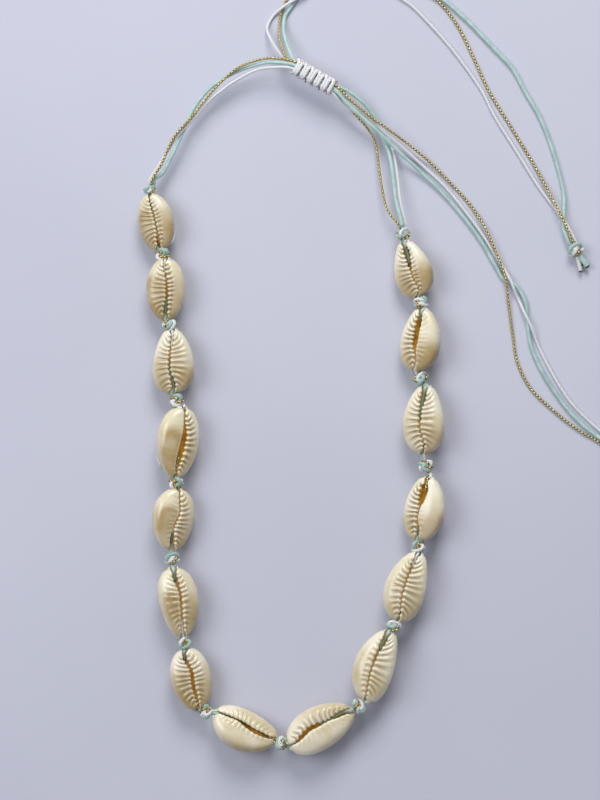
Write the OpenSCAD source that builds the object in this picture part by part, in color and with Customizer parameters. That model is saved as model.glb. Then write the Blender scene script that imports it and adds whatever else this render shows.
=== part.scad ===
// Cowrie shell necklace, lying on a table with the shells' toothed sides up.
// Units are millimetres. The table is z = 0, and +y points from the lowest shell to the slider.

/* [Shells] */
// Height of a shell as a share of its length
height_share = 0.48; // [0.42:0.01:0.54]
// Share of that height that lies below the widest level
dome_share = 0.62; // [0.55:0.01:0.68]
// Thickness of the shell wall
wall = 1.2; // [0.8:0.1:1.6]
// Thickness of the two rolled lips
lip_t = 1.6; // [1.2:0.1:2]
// Width of the slot between the lips at mid length
slot_w = 1.5; // [1.2:0.1:2]

/* [Strands] */
// Diameter of the mint satin strand
mint_d = 1.1; // [0.9:0.05:1.1]
// Diameter of the white braided strand
white_d = 0.9; // [0.7:0.05:0.9]
// Diameter of the gold braided strand
gold_d = 0.8; // [0.6:0.05:0.8]

/* [Knots] */
// Diameter of a knot between two shells
knot_d = 4.6; // [4:0.1:4.8]
// Longest that such a knot is, along the string
knot_l = 4.6; // [4:0.1:4.8]
// Length of the short knot above the first shell
first_knot_l = 2.8; // [2.4:0.1:3]
// Clearance between a knot and the shells beside it
knot_gap = 0.3; // [0.2:0.05:0.4]
// Length of the three cut ends below an end knot
cut_end_l = 4.2; // [3:0.1:5]

/* [Slider] */
// Length of the knotted slider
slider_l = 13.4; // [12:0.1:14]
// Width of the slider across its side loops
slider_w = 5.3; // [5.2:0.1:5.6]
// Height of the slider
slider_h = 4.2; // [4:0.1:4.6]
// Number of square knots in it
slider_knots = 5; // [4:1:6]

/* [Hidden] */
$fn = 48;

// One row for each shell, from the top left round to the top right: the two ends of its long axis,
// its width, its roll towards its own +x, and how far beside the axis the slot is seen from above
// at 10, 37, 63 and 90 % of the length.
// skew makes the outline fuller towards the second end; bow leads its middle towards own +x.
// columns: x1, y1, x2, y2, width, roll, slot_10, slot_37, slot_63, slot_90, skew, bow
SHELLS = [
    [-41.9, 63.1, -39.2, 46.8, 10.8, -12, -0.9, -0.4, -0.2, -0.2, 0.04, 0.25],
    [-37.6, 43.7, -37.6, 25.7, 11.6, 0, -0.4, 0.4, 0.5, 0.0, -0.02, 0.0],
    [-35.4, 22.4, -35.7, 3.6, 12.6, -8, -0.1, -0.8, -0.9, 0.7, 0.21, 0.5],
    [-32.9, -0.9, -35.2, -21.3, 12.9, 20, 1.6, 2.4, 1.8, 0.9, -0.1, -0.35],
    [-34.5, -25.2, -36.3, -43.2, 12.6, 20, 1.6, 2.3, 0.8, 0.7, -0.11, -0.2],
    [-35.6, -49.0, -32.7, -69.1, 11.9, 12, 0.6, 1.7, 1.3, 0.7, -0.16, 0.4],
    [-31.9, -73.2, -28.3, -91.0, 12.2, 8, -0.5, 1.0, 0.6, 1.0, -0.06, 0.1],
    [-23.0, -93.1, -5.1, -100.8, 12.4, 22, 2.0, 2.2, 1.1, 0.8, -0.08, -1.1],
    [-0.4, -102.1, 18.0, -91.8, 13.1, 5, 0.1, 1.9, 1.4, 1.2, -0.12, 0.3],
    [29.7, -68.0, 22.8, -88.5, 12.2, -10, -1.0, -2.0, -2.1, -1.2, 0.14, -1.1],
    [38.2, -44.6, 32.1, -64.4, 12.5, -3, -0.7, -1.3, -1.3, -0.2, 0.2, -0.7],
    [41.9, -22.0, 38.6, -40.4, 12.5, -22, -1.5, -2.0, -2.4, -1.2, 0.12, 0.1],
    [40.7, 5.5, 39.7, -14.3, 12.6, -10, -0.9, -1.8, -1.8, 0.0, 0.21, -0.25],
    [40.1, 28.6, 37.7, 10.4, 12.2, -22, -1.3, -1.9, -2.0, -0.8, 0.19, 0.3],
    [34.5, 48.8, 38.3, 32.6, 11.7, -20, -0.8, -0.9, -0.8, 0.4, 0.25, 0.4]
];
SHELL_COUNT = len(SHELLS);
UPPER = 1;
LOWER = -1;

// Stations along a shell, from its second end to its first, as shares of half its length
STATIONS = [-1, -0.93, -0.8, -0.58, -0.3, 0, 0.3, 0.58, 0.8, 0.93, 1];
// Directions of the points round the dome, in degrees from the right margin
DOME_ANGLES = [0, -28, -65, -115, -152, -180];
// How far the outline is from a pointed ellipse
END_BLUNTNESS = 0.94;
// Powers that flatten the base across, and dome and base towards the tips
BASE_ROUNDNESS = 2.3;
DOME_TAPER = 0.8;
BASE_TAPER = 0.6;
// Share of the wall, the lip and the slot that is left at the tips
TIP_WALL = 0.3;
TIP_LIP = 0.32;
TIP_SLOT = 0.75;
// Fullness from which a lip has its whole thickness
WHOLE_LIP = 0.93;
// Lips: depth and lean of the slot's edge, width of the crown beside it
LIP_DROP = 0.3;
LIP_LEAN = 0.05;
CROWN_W = 0.9;
// Where the shoulder lies between the margin and the crown
SHOULDER = 0.36;

// Where the strands lie in a shell's canal: beside and above its middle
MINT_SEAT = [-0.45, -0.1];
WHITE_SEAT = [0.57, 0.33];
GOLD_SEAT = [0.4, -0.7];
BUNDLE_R = 1.1;

function shell_l(s) = norm([s[0] - s[2], s[1] - s[3]]);
function shell_h(s) = height_share * shell_l(s);
function mid_z(s) = dome_share * shell_h(s);

// Outline: an ellipse with blunt ends, fuller towards one end by the shell's skew, on a bowed middle
function fullness(s, t) = sqrt(1 - pow(END_BLUNTNESS * (t + s[10] * (1 - t * t)), 2));
function middle_x(s, t) = s[11] * (1 - t * t);
function half_w(s, t) = s[4] / 2 * fullness(s, t);
function dome_d(s, t) = mid_z(s) * pow(fullness(s, t), DOME_TAPER);
function base_h(s, t) = (shell_h(s) - mid_z(s)) * pow(fullness(s, t), BASE_TAPER);
function between(low, share) = low + (1 - low) * share;
function wall_at(s, t) = wall * between(TIP_WALL, fullness(s, t));
function lip_at(s, t) = lip_t * min(1, between(TIP_LIP,
    (fullness(s, t) - fullness(s, 1)) / (WHOLE_LIP - fullness(s, 1))));

// Height of the base above the widest level, x beside the middle
function base_z(s, t, x) = base_h(s, t)
    * pow(max(0, 1 - pow(min(1, abs(x) / half_w(s, t)), BASE_ROUNDNESS)), 1 / BASE_ROUNDNESS);

// The slot as seen from above, turned back by the shell's roll and led to the tips at both ends
function slot_seen(s, t) = lookup((1 - t) / 2, [[0.1, s[6]], [0.37, s[7]], [0.63, s[8]], [0.9, s[9]]]);
function slot_x(s, t) = (1 - pow(abs(t), 8)) / cos(s[5])
    * (slot_seen(s, t) - (mid_z(s) + base_h(s, t) - shell_h(s) / 2) * sin(s[5]) - middle_x(s, t));
function slot_half(s, t) = slot_w / 2 * between(TIP_SLOT, fullness(s, t));

// Half of the base from the slot's edge to the margin, side = 1 for right and -1 for left
function lip_x(s, t, side) = slot_x(s, t) + side * slot_half(s, t);
function crown_x(s, t, side) = lip_x(s, t, side) + side * CROWN_W * fullness(s, t);
function shoulder_x(s, t, side) = SHOULDER * crown_x(s, t, side)
    + (1 - SHOULDER) * side * half_w(s, t);

function outer_side(s, t, side) = [
    [lip_x(s, t, side), base_z(s, t, lip_x(s, t, side)) - LIP_DROP],
    [crown_x(s, t, side), base_z(s, t, crown_x(s, t, side))],
    [shoulder_x(s, t, side), base_z(s, t, shoulder_x(s, t, side))]
];
function inner_side(s, t, side) = [
    [lip_x(s, t, side) + side * LIP_LEAN, base_z(s, t, lip_x(s, t, side)) - lip_at(s, t)],
    [crown_x(s, t, side), base_z(s, t, crown_x(s, t, side)) - lip_at(s, t)],
    [shoulder_x(s, t, side) * (1 - wall_at(s, t) / half_w(s, t)),
        base_z(s, t, shoulder_x(s, t, side)) - wall_at(s, t)]
];
function dome(s, t, in) = [for (a = DOME_ANGLES)
    [(half_w(s, t) - in) * cos(a), (dome_d(s, t) - in) * sin(a)]];
function reversed(list) = [for (i = [len(list) - 1:-1:0]) list[i]];

// One closed ring round the wall: outside from lip to lip, then back inside
function shell_ring(s, t) = concat(
    outer_side(s, t, 1), dome(s, t, 0), reversed(outer_side(s, t, -1)),
    inner_side(s, t, -1), reversed(dome(s, t, wall_at(s, t))), reversed(inner_side(s, t, 1)));

// A point of the shell's own frame, rolled about the long axis
function rolled(s, p) = [
    p[0] * cos(s[5]) + (p[2] - shell_h(s) / 2) * sin(s[5]),
    p[1],
    -p[0] * sin(s[5]) + (p[2] - shell_h(s) / 2) * cos(s[5])];
function own_points(s) = [for (t = STATIONS) for (q = shell_ring(s, t))
    rolled(s, [q[0] + middle_x(s, t), t * shell_l(s) / 2, mid_z(s) + q[1]])];
function lowest(points) = min([for (p = points) p[2]]);

// The same point on the table: turned to the shell's direction and lifted until the dome touches
function laid(s, p, lift) = let (l = shell_l(s), ux = (s[0] - s[2]) / l, uy = (s[1] - s[3]) / l)
    [(s[0] + s[2]) / 2 + p[1] * ux + p[0] * uy, (s[1] + s[3]) / 2 + p[1] * uy - p[0] * ux, p[2] + lift];

LIFTS = [for (s = SHELLS) -lowest(own_points(s))];

// Middle of the canal at either tip, with the seat of a strand beside it
function canal(i, end, seat, beyond) = let (s = SHELLS[i])
    laid(s, rolled(s, [seat[0], end * (shell_l(s) / 2 + beyond), mid_z(s) + seat[1]]), LIFTS[i]);

// Faces between a stack of closed rings, and across the ring at either end
function stack_faces(rings, n) = [for (i = [0:rings - 2]) for (j = [0:n - 1])
    [i * n + j, i * n + (j + 1) % n, (i + 1) * n + (j + 1) % n, (i + 1) * n + j]];
function cap_quads(first, n, turn) = [for (j = [0:n / 2 - 2])
    turn > 0 ? [first + j, first + n - 1 - j, first + n - 2 - j, first + j + 1]
             : [first + j, first + j + 1, first + n - 2 - j, first + n - 1 - j]];

module shell(i) {
    s = SHELLS[i];
    ring_n = len(shell_ring(s, 0));
    color("ivory")
        polyhedron(
            points = [for (p = own_points(s)) laid(s, p, LIFTS[i])],
            faces = concat(
                cap_quads(0, ring_n, 1),
                stack_faces(len(STATIONS), ring_n),
                cap_quads((len(STATIONS) - 1) * ring_n, ring_n, -1)));
}

// Knot k lies before shell k in the row. The string runs down the left column, along the bottom and
// up the right column, so it meets the right shells at their lower tips first.
FIRST_RIGHT = 9;
// Radius of a knot's two end wraps, at most this share of the middle wrap's, and share of the knot's
// width that a full bend takes
KNOT_END_R = 1.8;
END_WRAP_SHARE = 0.82;
BEND_SHARE = 0.44;
// Strands end at most this far inside a shell's tip
MAX_SHORT = 0.4;
function entry_end(i) = i < FIRST_RIGHT ? UPPER : LOWER;
function knot_from(k) = k == 0 ? canal(0, UPPER, [0, 0], 2 * knot_gap + first_knot_l)
    : canal(k - 1, -entry_end(k - 1), [0, 0], 0);
function knot_to(k) = k == SHELL_COUNT ? canal(k - 1, UPPER, [0, 0], 2 * knot_gap + knot_l)
    : canal(k, entry_end(k), [0, 0], 0);
function knot_span(k) = norm(knot_to(k) - knot_from(k));

// Sine of the angle between a knot's axis and the axis of a shell beside it
function bend(k, i) = let (s = SHELLS[i], d = knot_to(k) - knot_from(k))
    abs((s[0] - s[2]) * d[1] - (s[1] - s[3]) * d[0]) / shell_l(s) / norm(d);
function widest_bend(k) = max(bend(k, max(0, k - 1)), bend(k, min(SHELL_COUNT - 1, k)));
function knot_length(k) = min(k == 0 ? first_knot_l : knot_l,
    knot_span(k) - 2 * knot_gap - 2 * KNOT_END_R * widest_bend(k));

// How far a strand stands out of shell i towards knot k
function thread_reach(k, i) = max(-MAX_SHORT,
    (knot_span(k) - knot_length(k)) / 2 - BUNDLE_R * bend(k, i) - knot_gap / 2);

// Lays a child drawn along +z on the line from a to b, centred
module along(a, b) {
    d = b - a;
    translate((a + b) / 2)
        rotate([0, 0, atan2(d[1], d[0])])
            rotate([0, atan2(norm([d[0], d[1]]), d[2]), 0])
                children();
}

// A knot: three wraps round a core, turned about the string
module wraps(length, diameter) {
    wrap_r = length / 6;
    core_r = diameter / 2 - wrap_r;
    end_in = diameter / 2 - min(KNOT_END_R, END_WRAP_SHARE * diameter / 2);
    rotate_extrude()
        union() {
            translate([0, -length / 2 + wrap_r / 2])
                square([core_r - end_in, length - wrap_r]);
            translate([0, -wrap_r])
                square([core_r, 2 * wrap_r]);
            for (level = [-1:1])
                translate([core_r - abs(level) * end_in, level * 2 * wrap_r])
                    circle(wrap_r);
        }
}

module knot(k) {
    color("mintcream")
        along(knot_from(k), knot_to(k))
            wraps(knot_length(k), knot_d * (1 - BEND_SHARE * widest_bend(k)));
}

// A strand of the string: one straight run through each shell, from knot to knot
module thread(diameter, seat) {
    for (i = [0:SHELL_COUNT - 1]) {
        k_upper = i < FIRST_RIGHT ? i : i + 1;
        k_lower = i < FIRST_RIGHT ? i + 1 : i;
        a = canal(i, UPPER, seat, thread_reach(k_upper, i));
        b = canal(i, LOWER, seat, thread_reach(k_lower, i));
        along(b, a)
            cylinder(d = diameter, h = norm(a - b), center = true);
    }
}

module thread_mint() {
    color("aquamarine")
        thread(mint_d, MINT_SEAT);
}

module thread_white() {
    color("white")
        thread(white_d, WHITE_SEAT);
}

module thread_gold() {
    color("goldenrod")
        thread(gold_d, GOLD_SEAT);
}

// The slider lies on this point, turned down to the right
SLIDER_MID = [6.8, 98.35, 6];
SLIDER_TURN = -30;
BORE_W = 3.9;
BORE_H = 2.9;
// Each of its knots: share of the pitch that the wide band takes, how far in the two bands lie
WIDE_SHARE = 0.62;
WIDE_IN = 0.4;
NARROW_IN = 0.7;
NARROW_DOWN = 0.5;
// Side loops: radius and share of the slider's height
LOOP_R = 0.62;
LOOP_SHARE = 0.55;

module stadium(w, h) {
    square([w - h, h], center = true);
    for (side = [-1, 1])
        translate([side * (w - h) / 2, 0])
            circle(d = h);
}

// Square knots tied over the cords: a wide and a narrow band each, with a loop at either side
module square_knot(pitch) {
    linear_extrude(pitch * WIDE_SHARE)
        stadium(slider_w - WIDE_IN, slider_h);
    translate([0, 0, pitch * WIDE_SHARE])
        linear_extrude(pitch * (1 - WIDE_SHARE))
            stadium(slider_w - NARROW_IN, slider_h - NARROW_DOWN);
    for (side = [-1, 1])
        translate([side * (slider_w / 2 - LOOP_R), 0, pitch * WIDE_SHARE / 2])
            rotate([90, 0, 0])
                cylinder(r = LOOP_R, h = slider_h * LOOP_SHARE, center = true);
}

module slider() {
    pitch = slider_l / slider_knots;
    color("white")
        translate(SLIDER_MID)
            rotate([0, 0, SLIDER_TURN])
                rotate([90, 0, 90])
                    difference() {
                        for (i = [0:slider_knots - 1])
                            translate([0, 0, -slider_l / 2 + i * pitch])
                                square_knot(pitch);
                        translate([0, 0, -slider_l / 2 - 1])
                            linear_extrude(slider_l + 2)
                                stadium(BORE_W, BORE_H);
                    }
}

// Routes of the tie cords. The left three leave the first knot, pass the slider and run out to the
// lower right; the right three leave the last knot, pass the slider and come round the top.
LEFT_GOLD = [
    [-41.9, 66.3, 5.9], [-41.5, 67.8, 6.1], [-38.9, 72.0, 6.2], [-36.7, 77.0, 6.1], [-34.4, 81.2, 6.0],
    [-30.2, 85.8, 6.0], [-25.9, 91.2, 6.0], [-21.3, 96.4, 6.1], [-16.0, 100.9, 6.3], [-9.5, 103.4, 6.5],
    [-4.4, 103.8, 6.6], [1.5, 102.6, 6.6], [7.3, 99.2, 6.6], [13.1, 95.9, 6.6], [18.2, 91.0, 6.3],
    [23.6, 86.6, 5.4], [29.4, 82.6, 4.2], [34.9, 78.7, 2.7], [41.8, 73.1, 1.1], [47.9, 67.0, 0.5],
    [54.0, 60.3, 0.5], [58.4, 53.4, 1.3], [62.0, 45.4, 1.7], [64.6, 37.8, 1.9], [65.6, 30.0, 0.9],
    [66.8, 21.2, 0.45], [68.2, 12.9, 0.45], [72.3, 4.9, 0.45], [79.2, -1.8, 0.45], [86.2, -7.3, 0.45],
    [92.3, -10.9, 0.5], [96.4, -13.3, 1.2], [98.5, -14.6, 1.9]
];
LEFT_MINT = [
    [-41.1, 66.5, 4.9], [-40.8, 67.8, 4.9], [-38.4, 69.8, 4.9], [-35.9, 74.5, 4.8], [-33.6, 79.4, 4.4],
    [-31.5, 84.0, 4.0], [-29.7, 88.2, 4.0], [-26.6, 92.6, 4.4], [-22.8, 96.3, 4.7], [-16.9, 99.7, 5.0],
    [-10.4, 102.0, 5.5], [-5.6, 102.7, 6.1], [0.8, 101.8, 6.6], [6.8, 98.3, 6.6], [12.6, 95.0, 6.6],
    [17.2, 89.9, 6.3], [22.0, 85.7, 5.4], [27.4, 80.9, 4.2], [33.2, 75.4, 2.8], [39.6, 69.7, 1.2],
    [46.2, 63.3, 0.6], [52.4, 56.1, 0.6], [57.4, 49.2, 0.6], [61.2, 42.6, 0.6], [64.2, 37.8, 0.6],
    [68.0, 35.7, 0.6], [70.7, 30.9, 0.6], [71.3, 25.6, 0.6], [72.3, 17.9, 0.6], [76.3, 9.0, 0.6],
    [82.9, -0.7, 0.6], [88.2, -6.3, 0.6], [93.0, -9.9, 0.9], [96.6, -12.3, 2.0], [99.1, -13.8, 3.0]
];
LEFT_WHITE = [
    [-42.4, 66.4, 4.7], [-42.1, 68.0, 4.9], [-39.3, 72.3, 5.2], [-36.4, 77.2, 5.2], [-33.4, 81.4, 5.1],
    [-29.4, 85.6, 5.1], [-24.6, 91.2, 5.1], [-20.0, 95.0, 5.1], [-15.2, 98.1, 5.3], [-10.0, 100.5, 5.9],
    [-5.0, 101.1, 6.5], [0.4, 100.8, 6.6], [6.2, 97.4, 6.6], [11.9, 93.9, 6.5], [16.3, 89.8, 4.9],
    [22.8, 85.9, 4.3], [28.4, 81.6, 3.3], [34.2, 77.0, 1.8], [40.4, 71.5, 0.6], [46.4, 65.9, 0.5],
    [52.4, 58.6, 0.5], [58.0, 50.9, 0.5], [62.2, 44.2, 0.5], [65.7, 38.3, 1.8], [67.0, 35.3, 1.7],
    [68.5, 32.0, 0.7],
    [70.4, 27.6, 1.7], [72.6, 23.0, 1.6], [74.6, 17.8, 0.5], [78.8, 9.4, 0.5], [84.1, 1.1, 0.5],
    [89.8, -4.8, 0.5], [94.0, -8.4, 0.6], [97.4, -11.1, 1.2], [99.7, -13.0, 1.9]
];
RIGHT_GOLD = [
    [32.5, 53.5, 4.6], [31.8, 54.9, 4.5], [29.0, 58.6, 3.6], [27.4, 65.0, 2.9], [26.4, 72.0, 2.2],
    [25.4, 79.0, 1.7], [23.0, 83.2, 2.1], [19.4, 87.2, 2.9], [15.8, 91.0, 4.1], [12.1, 94.1, 5.4],
    [6.3, 97.5, 5.4], [0.5, 100.9, 5.4], [-0.9, 102.8, 5.6], [-1.8, 105.0, 5.3], [-3.1, 108.4, 4.2],
    [-3.6, 112.4, 2.1],
    [-3.2, 116.8, 0.5], [-1.6, 121.6, 0.45], [1.6, 127.4, 0.45], [7.6, 132.4, 0.45], [15.4, 134.9, 0.45],
    [23.6, 134.6, 0.8], [31.4, 131.2, 1.7], [38.4, 126.0, 1.4], [44.6, 121.5, 0.5], [50.1, 114.5, 0.45],
    [54.8, 105.1, 0.45], [59.7, 94.5, 0.45], [65.9, 84.4, 0.45], [72.8, 73.1, 0.5], [77.4, 64.6, 1.4],
    [80.6, 58.2, 2.6], [83.2, 52.6, 3.1], [84.7, 48.9, 3.1]
];
RIGHT_MINT = [
    [33.4, 53.7, 5.7], [33.0, 55.4, 5.5], [31.5, 61.6, 4.3], [30.7, 68.6, 3.3], [29.6, 75.2, 2.4],
    [27.3, 81.4, 1.9], [25.0, 86.6, 2.4], [21.6, 90.8, 3.7], [17.4, 93.9, 5.0], [13.1, 95.9, 5.4],
    [7.3, 99.3, 5.4], [1.5, 102.6, 5.4], [-0.2, 105.6, 5.0], [-1.6, 109.4, 3.6], [-2.2, 113.2, 1.8],
    [-1.8, 117.0, 0.7], [0.2, 120.2, 0.6], [3.0, 124.4, 0.6], [8.4, 129.2, 0.6], [16.0, 132.2, 0.6],
    [24.6, 132.2, 0.6], [32.6, 130.2, 0.6], [39.8, 126.6, 0.6], [46.6, 121.6, 0.6], [53.6, 115.3, 0.6],
    [60.5, 108.1, 0.6], [66.7, 101.4, 0.6], [70.5, 94.5, 0.6], [75.3, 86.0, 0.6], [79.4, 75.0, 0.6],
    [82.0, 64.6, 0.7], [82.2, 58.6, 1.4], [82.0, 53.6, 1.8], [83.0, 50.6, 1.9], [83.8, 48.6, 1.9]
];
RIGHT_WHITE = [
    [34.4, 53.9, 4.6], [34.1, 55.2, 4.5], [32.8, 61.6, 3.7], [32.0, 68.8, 2.7], [30.8, 75.8, 1.4],
    [28.4, 81.8, 0.6], [24.8, 85.8, 1.2], [20.6, 89.4, 2.7], [16.4, 92.4, 4.5], [12.6, 95.0, 5.4],
    [6.8, 98.3, 5.4], [1.5, 101.4, 5.3], [-0.2, 102.4, 4.7], [-1.7, 103.6, 4.0], [-3.9, 106.4, 3.5],
    [-6.0, 109.8, 2.8],
    [-7.2, 113.4, 1.2], [-5.6, 117.0, 0.5], [-2.6, 119.7, 1.5], [0.4, 121.6, 1.7], [4.0, 123.6, 1.6],
    [9.8, 126.4, 0.5], [17.4, 127.8, 0.5], [25.4, 126.2, 0.5], [34.9, 121.5, 0.5], [42.4, 114.3, 0.5],
    [49.9, 105.6, 0.5], [57.3, 95.1, 0.5], [61.3, 87.2, 0.5], [67.7, 77.0, 0.5], [74.2, 66.5, 0.5],
    [79.5, 59.3, 0.5], [82.8, 55.0, 0.6], [84.6, 51.6, 1.4], [85.6, 49.2, 1.9]
];
SIDES = 8;

// A smooth curve through the route's points, with one more point halfway along each stretch
function halfway(a, b, c, d) = (9 * (b + c) - a - d) / 16;
function smoothed(p) = let (n = len(p) - 1) concat(
    [for (i = [0:n - 1]) each [p[i], halfway(p[max(0, i - 1)], p[i], p[i + 1], p[min(n, i + 2)])]],
    [p[n]]);

// Rings square to the route, each with its level axis sideways
function route_dir(p, i) = let (d = p[min(len(p) - 1, i + 1)] - p[max(0, i - 1)]) d / norm(d);
function side_dir(d) = let (c = cross(d, [0, 0, 1])) c / norm(c);
function tube_ring(p, i, r) = let (d = route_dir(p, i), x = side_dir(d), y = cross(x, d))
    [for (j = [0:SIDES - 1]) let (a = 360 / SIDES * (j + 0.5)) p[i] + r * (cos(a) * x + sin(a) * y)];

module cord(route, diameter) {
    path = smoothed(route);
    polyhedron(
        points = [for (i = [0:len(path) - 1]) each tube_ring(path, i, diameter / 2)],
        faces = concat(
            [[for (j = [0:SIDES - 1]) SIDES - 1 - j]],
            [for (i = [0:len(path) - 2]) for (j = [0:SIDES - 1])
                let (a = i * SIDES, k = (j + 1) % SIDES) [a + j, a + k, a + SIDES + k, a + SIDES + j]],
            [[for (j = [0:SIDES - 1]) (len(path) - 1) * SIDES + j]]));
}

module mint_cord(route) {
    color("aquamarine")
        cord(route, mint_d);
}

module white_cord(route) {
    color("white")
        cord(route, white_d);
}

module gold_cord(route) {
    color("goldenrod")
        cord(route, gold_d);
}

// End knots, centred on at and pointing along the table, with three cut ends spread below
UPPER_KNOT_AT = [85.65, 46.65, 2.4];
UPPER_KNOT_TURN = -68;
LOWER_KNOT_AT = [101.1, -15.2, 2.4];
LOWER_KNOT_TURN = -35;
END_KNOT_D = 4.4;
END_KNOT_L = 4.6;

// columns: turn in the table's plane, drop towards the table, diameter
CUT_ENDS = [[-9, 9, white_d], [6, 12, gold_d], [18, 7, mint_d]];

module end_knot(at, turn) {
    color("mintcream")
        translate(at)
            rotate([0, 0, turn]) {
                rotate([0, 90, 0])
                    wraps(END_KNOT_L, END_KNOT_D);
                for (e = CUT_ENDS)
                    rotate([0, e[1], e[0]])
                        translate([END_KNOT_L / 4, 0, 0])
                            rotate([0, 90, 0])
                                cylinder(d = e[2], h = END_KNOT_L / 4 + cut_end_l);
            }
}

function two_digits(i) = i < 10 ? str("0", i) : str(i);

for (i = [0:SHELL_COUNT - 1])
    shell(i);
for (k = [0:SHELL_COUNT])
    knot(k);
thread_mint();
thread_white();
thread_gold();
slider();
mint_cord(LEFT_MINT);  // cord_left_mint
white_cord(LEFT_WHITE);  // cord_left_white
gold_cord(LEFT_GOLD);  // cord_left_gold
mint_cord(RIGHT_MINT);  // cord_right_mint
white_cord(RIGHT_WHITE);  // cord_right_white
gold_cord(RIGHT_GOLD);  // cord_right_gold
end_knot(UPPER_KNOT_AT, UPPER_KNOT_TURN);  // end_knot_upper
end_knot(LOWER_KNOT_AT, LOWER_KNOT_TURN);  // end_knot_lower
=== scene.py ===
import math

import bpy
import numpy as np
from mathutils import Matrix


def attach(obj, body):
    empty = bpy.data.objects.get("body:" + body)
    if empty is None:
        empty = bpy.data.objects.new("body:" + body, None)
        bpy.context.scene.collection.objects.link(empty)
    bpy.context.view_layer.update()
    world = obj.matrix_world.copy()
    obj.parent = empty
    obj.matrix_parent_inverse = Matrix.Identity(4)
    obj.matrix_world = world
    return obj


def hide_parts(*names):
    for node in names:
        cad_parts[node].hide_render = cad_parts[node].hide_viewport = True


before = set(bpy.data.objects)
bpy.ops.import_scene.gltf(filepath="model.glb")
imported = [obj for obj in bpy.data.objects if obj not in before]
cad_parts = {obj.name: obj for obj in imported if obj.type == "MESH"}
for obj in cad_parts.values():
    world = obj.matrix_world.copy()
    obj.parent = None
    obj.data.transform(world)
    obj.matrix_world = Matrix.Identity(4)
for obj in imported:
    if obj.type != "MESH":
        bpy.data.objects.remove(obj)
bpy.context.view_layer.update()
mm = 0.001
print("frame loaded:", len(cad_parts), "nodes")


# small tools for shapes

def ramp(x, start=0.0, over=1.0):
    # rises from 0 at start to 1 at start + over with level ends: u squared times (3 - 2u)
    u = np.clip((x - start) / over, 0.0, 1.0)
    return u * u * (3.0 - 2.0 * u)


def hill(x, top, width, power=2):
    # 1 at its top and falling on both sides: e to the minus ((x - top) / width) to the power
    return np.exp(-((x - top) / width)**power)


def unit(v):
    # each vector over its own length
    return v / np.linalg.norm(v, axis=-1, keepdims=True)


def smoothRoute(points, perStretch=16):
    # the cubic through each pair of points, with a slope of half the step between its neighbours
    p = np.vstack([points[:1], points, points[-1:]])
    a, b, c, d = (p[k:len(p) - 3 + k, None, :] for k in range(4))
    s = np.linspace(0.0, 1.0, perStretch, endpoint=False)[None, :, None]
    curve = 0.5 * (2 * b + (c - a) * s + (2 * a - 5 * b + 4 * c - d) * s**2
                   + (3 * b - a - 3 * c + d) * s**3)
    return np.vstack([curve.reshape(-1, 3), points[-1:]])


def evenly(path, step):
    # the same line with its points one step apart, and their distance from the start
    lengths = np.linalg.norm(np.diff(path, axis=0), axis=1)
    along = np.concatenate([[0.0], np.cumsum(lengths)])
    want = np.linspace(0.0, along[-1], max(3, int(round(along[-1] / step)) + 1))
    return np.stack([np.interp(want, along, path[:, k]) for k in range(3)], axis=1), want


def ringAngles(sides):
    # of a ring's corners, the first half a side away from 0
    return 2 * np.pi * (np.arange(sides) + 0.5) / sides


def tubeGrid(path, radius, sides, up=(0.0, 0.0, 1.0)):
    # rings square to the path: centre + radius (cos a side + sin a lift), lift being nearest to up
    along = unit(np.gradient(path, axis=0))
    side = unit(np.cross(along, np.broadcast_to(np.asarray(up, float), path.shape)))
    lift = np.cross(side, along)
    a = ringAngles(sides)[None, :, None]
    r = np.broadcast_to(np.asarray(radius, float), (len(path), sides))[..., None]
    return path[:, None, :] + r * (np.cos(a) * side[:, None, :] + np.sin(a) * lift[:, None, :])


def plaitRadius(distance, sides, diameter, plait):
    # a plait's diamonds: half of cos(yarns round) plus cos(plaits along), as a share of the radius
    around = np.cos(plait["round"] * ringAngles(sides))[None, :]
    onward = np.cos(2 * np.pi * distance / (plait["length"] * mm))[:, None]
    wave = 0.5 * (around + onward)
    return diameter / 2 * (1 - plait["depth"] * (0.5 - 0.5 * wave))


def gridFaces(n, m):
    # the quads between n closed rings of m points, where a corner's number is ring times m + place
    i = np.arange(n - 1)[:, None] * m
    j = np.arange(m)[None, :]
    k = (j + 1) % m
    return np.stack([i + j, i + m + j, i + m + k, i + k], axis=-1).reshape(-1, 4)


def ringUv(n, m, distance):
    # for each quad's corners: millimetres along the piece, and the share of a turn round it
    low, high = distance[:-1, None] / mm, distance[1:, None] / mm
    j = np.arange(m)[None, :] / m
    k = (np.arange(m)[None, :] + 1) / m
    one = np.ones((n - 1, m))
    corners = ((low, j), (high, j), (high, k), (low, k))
    uv = [np.stack([u * one, v * one], axis=-1) for u, v in corners]
    return np.stack(uv, axis=2).reshape(-1, 2)


def signedVolume(points, quads):
    # a sixth of the sum of a . (b x c) over the surface's triangles: below 0 if they look inward
    p = points - points.mean(axis=0)
    a, b, c, d = (p[quads[:, k]] for k in range(4))
    return sum(np.einsum("ij,ij->i", a, np.cross(*pair)) for pair in ((b, c), (c, d))).sum() / 6


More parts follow.
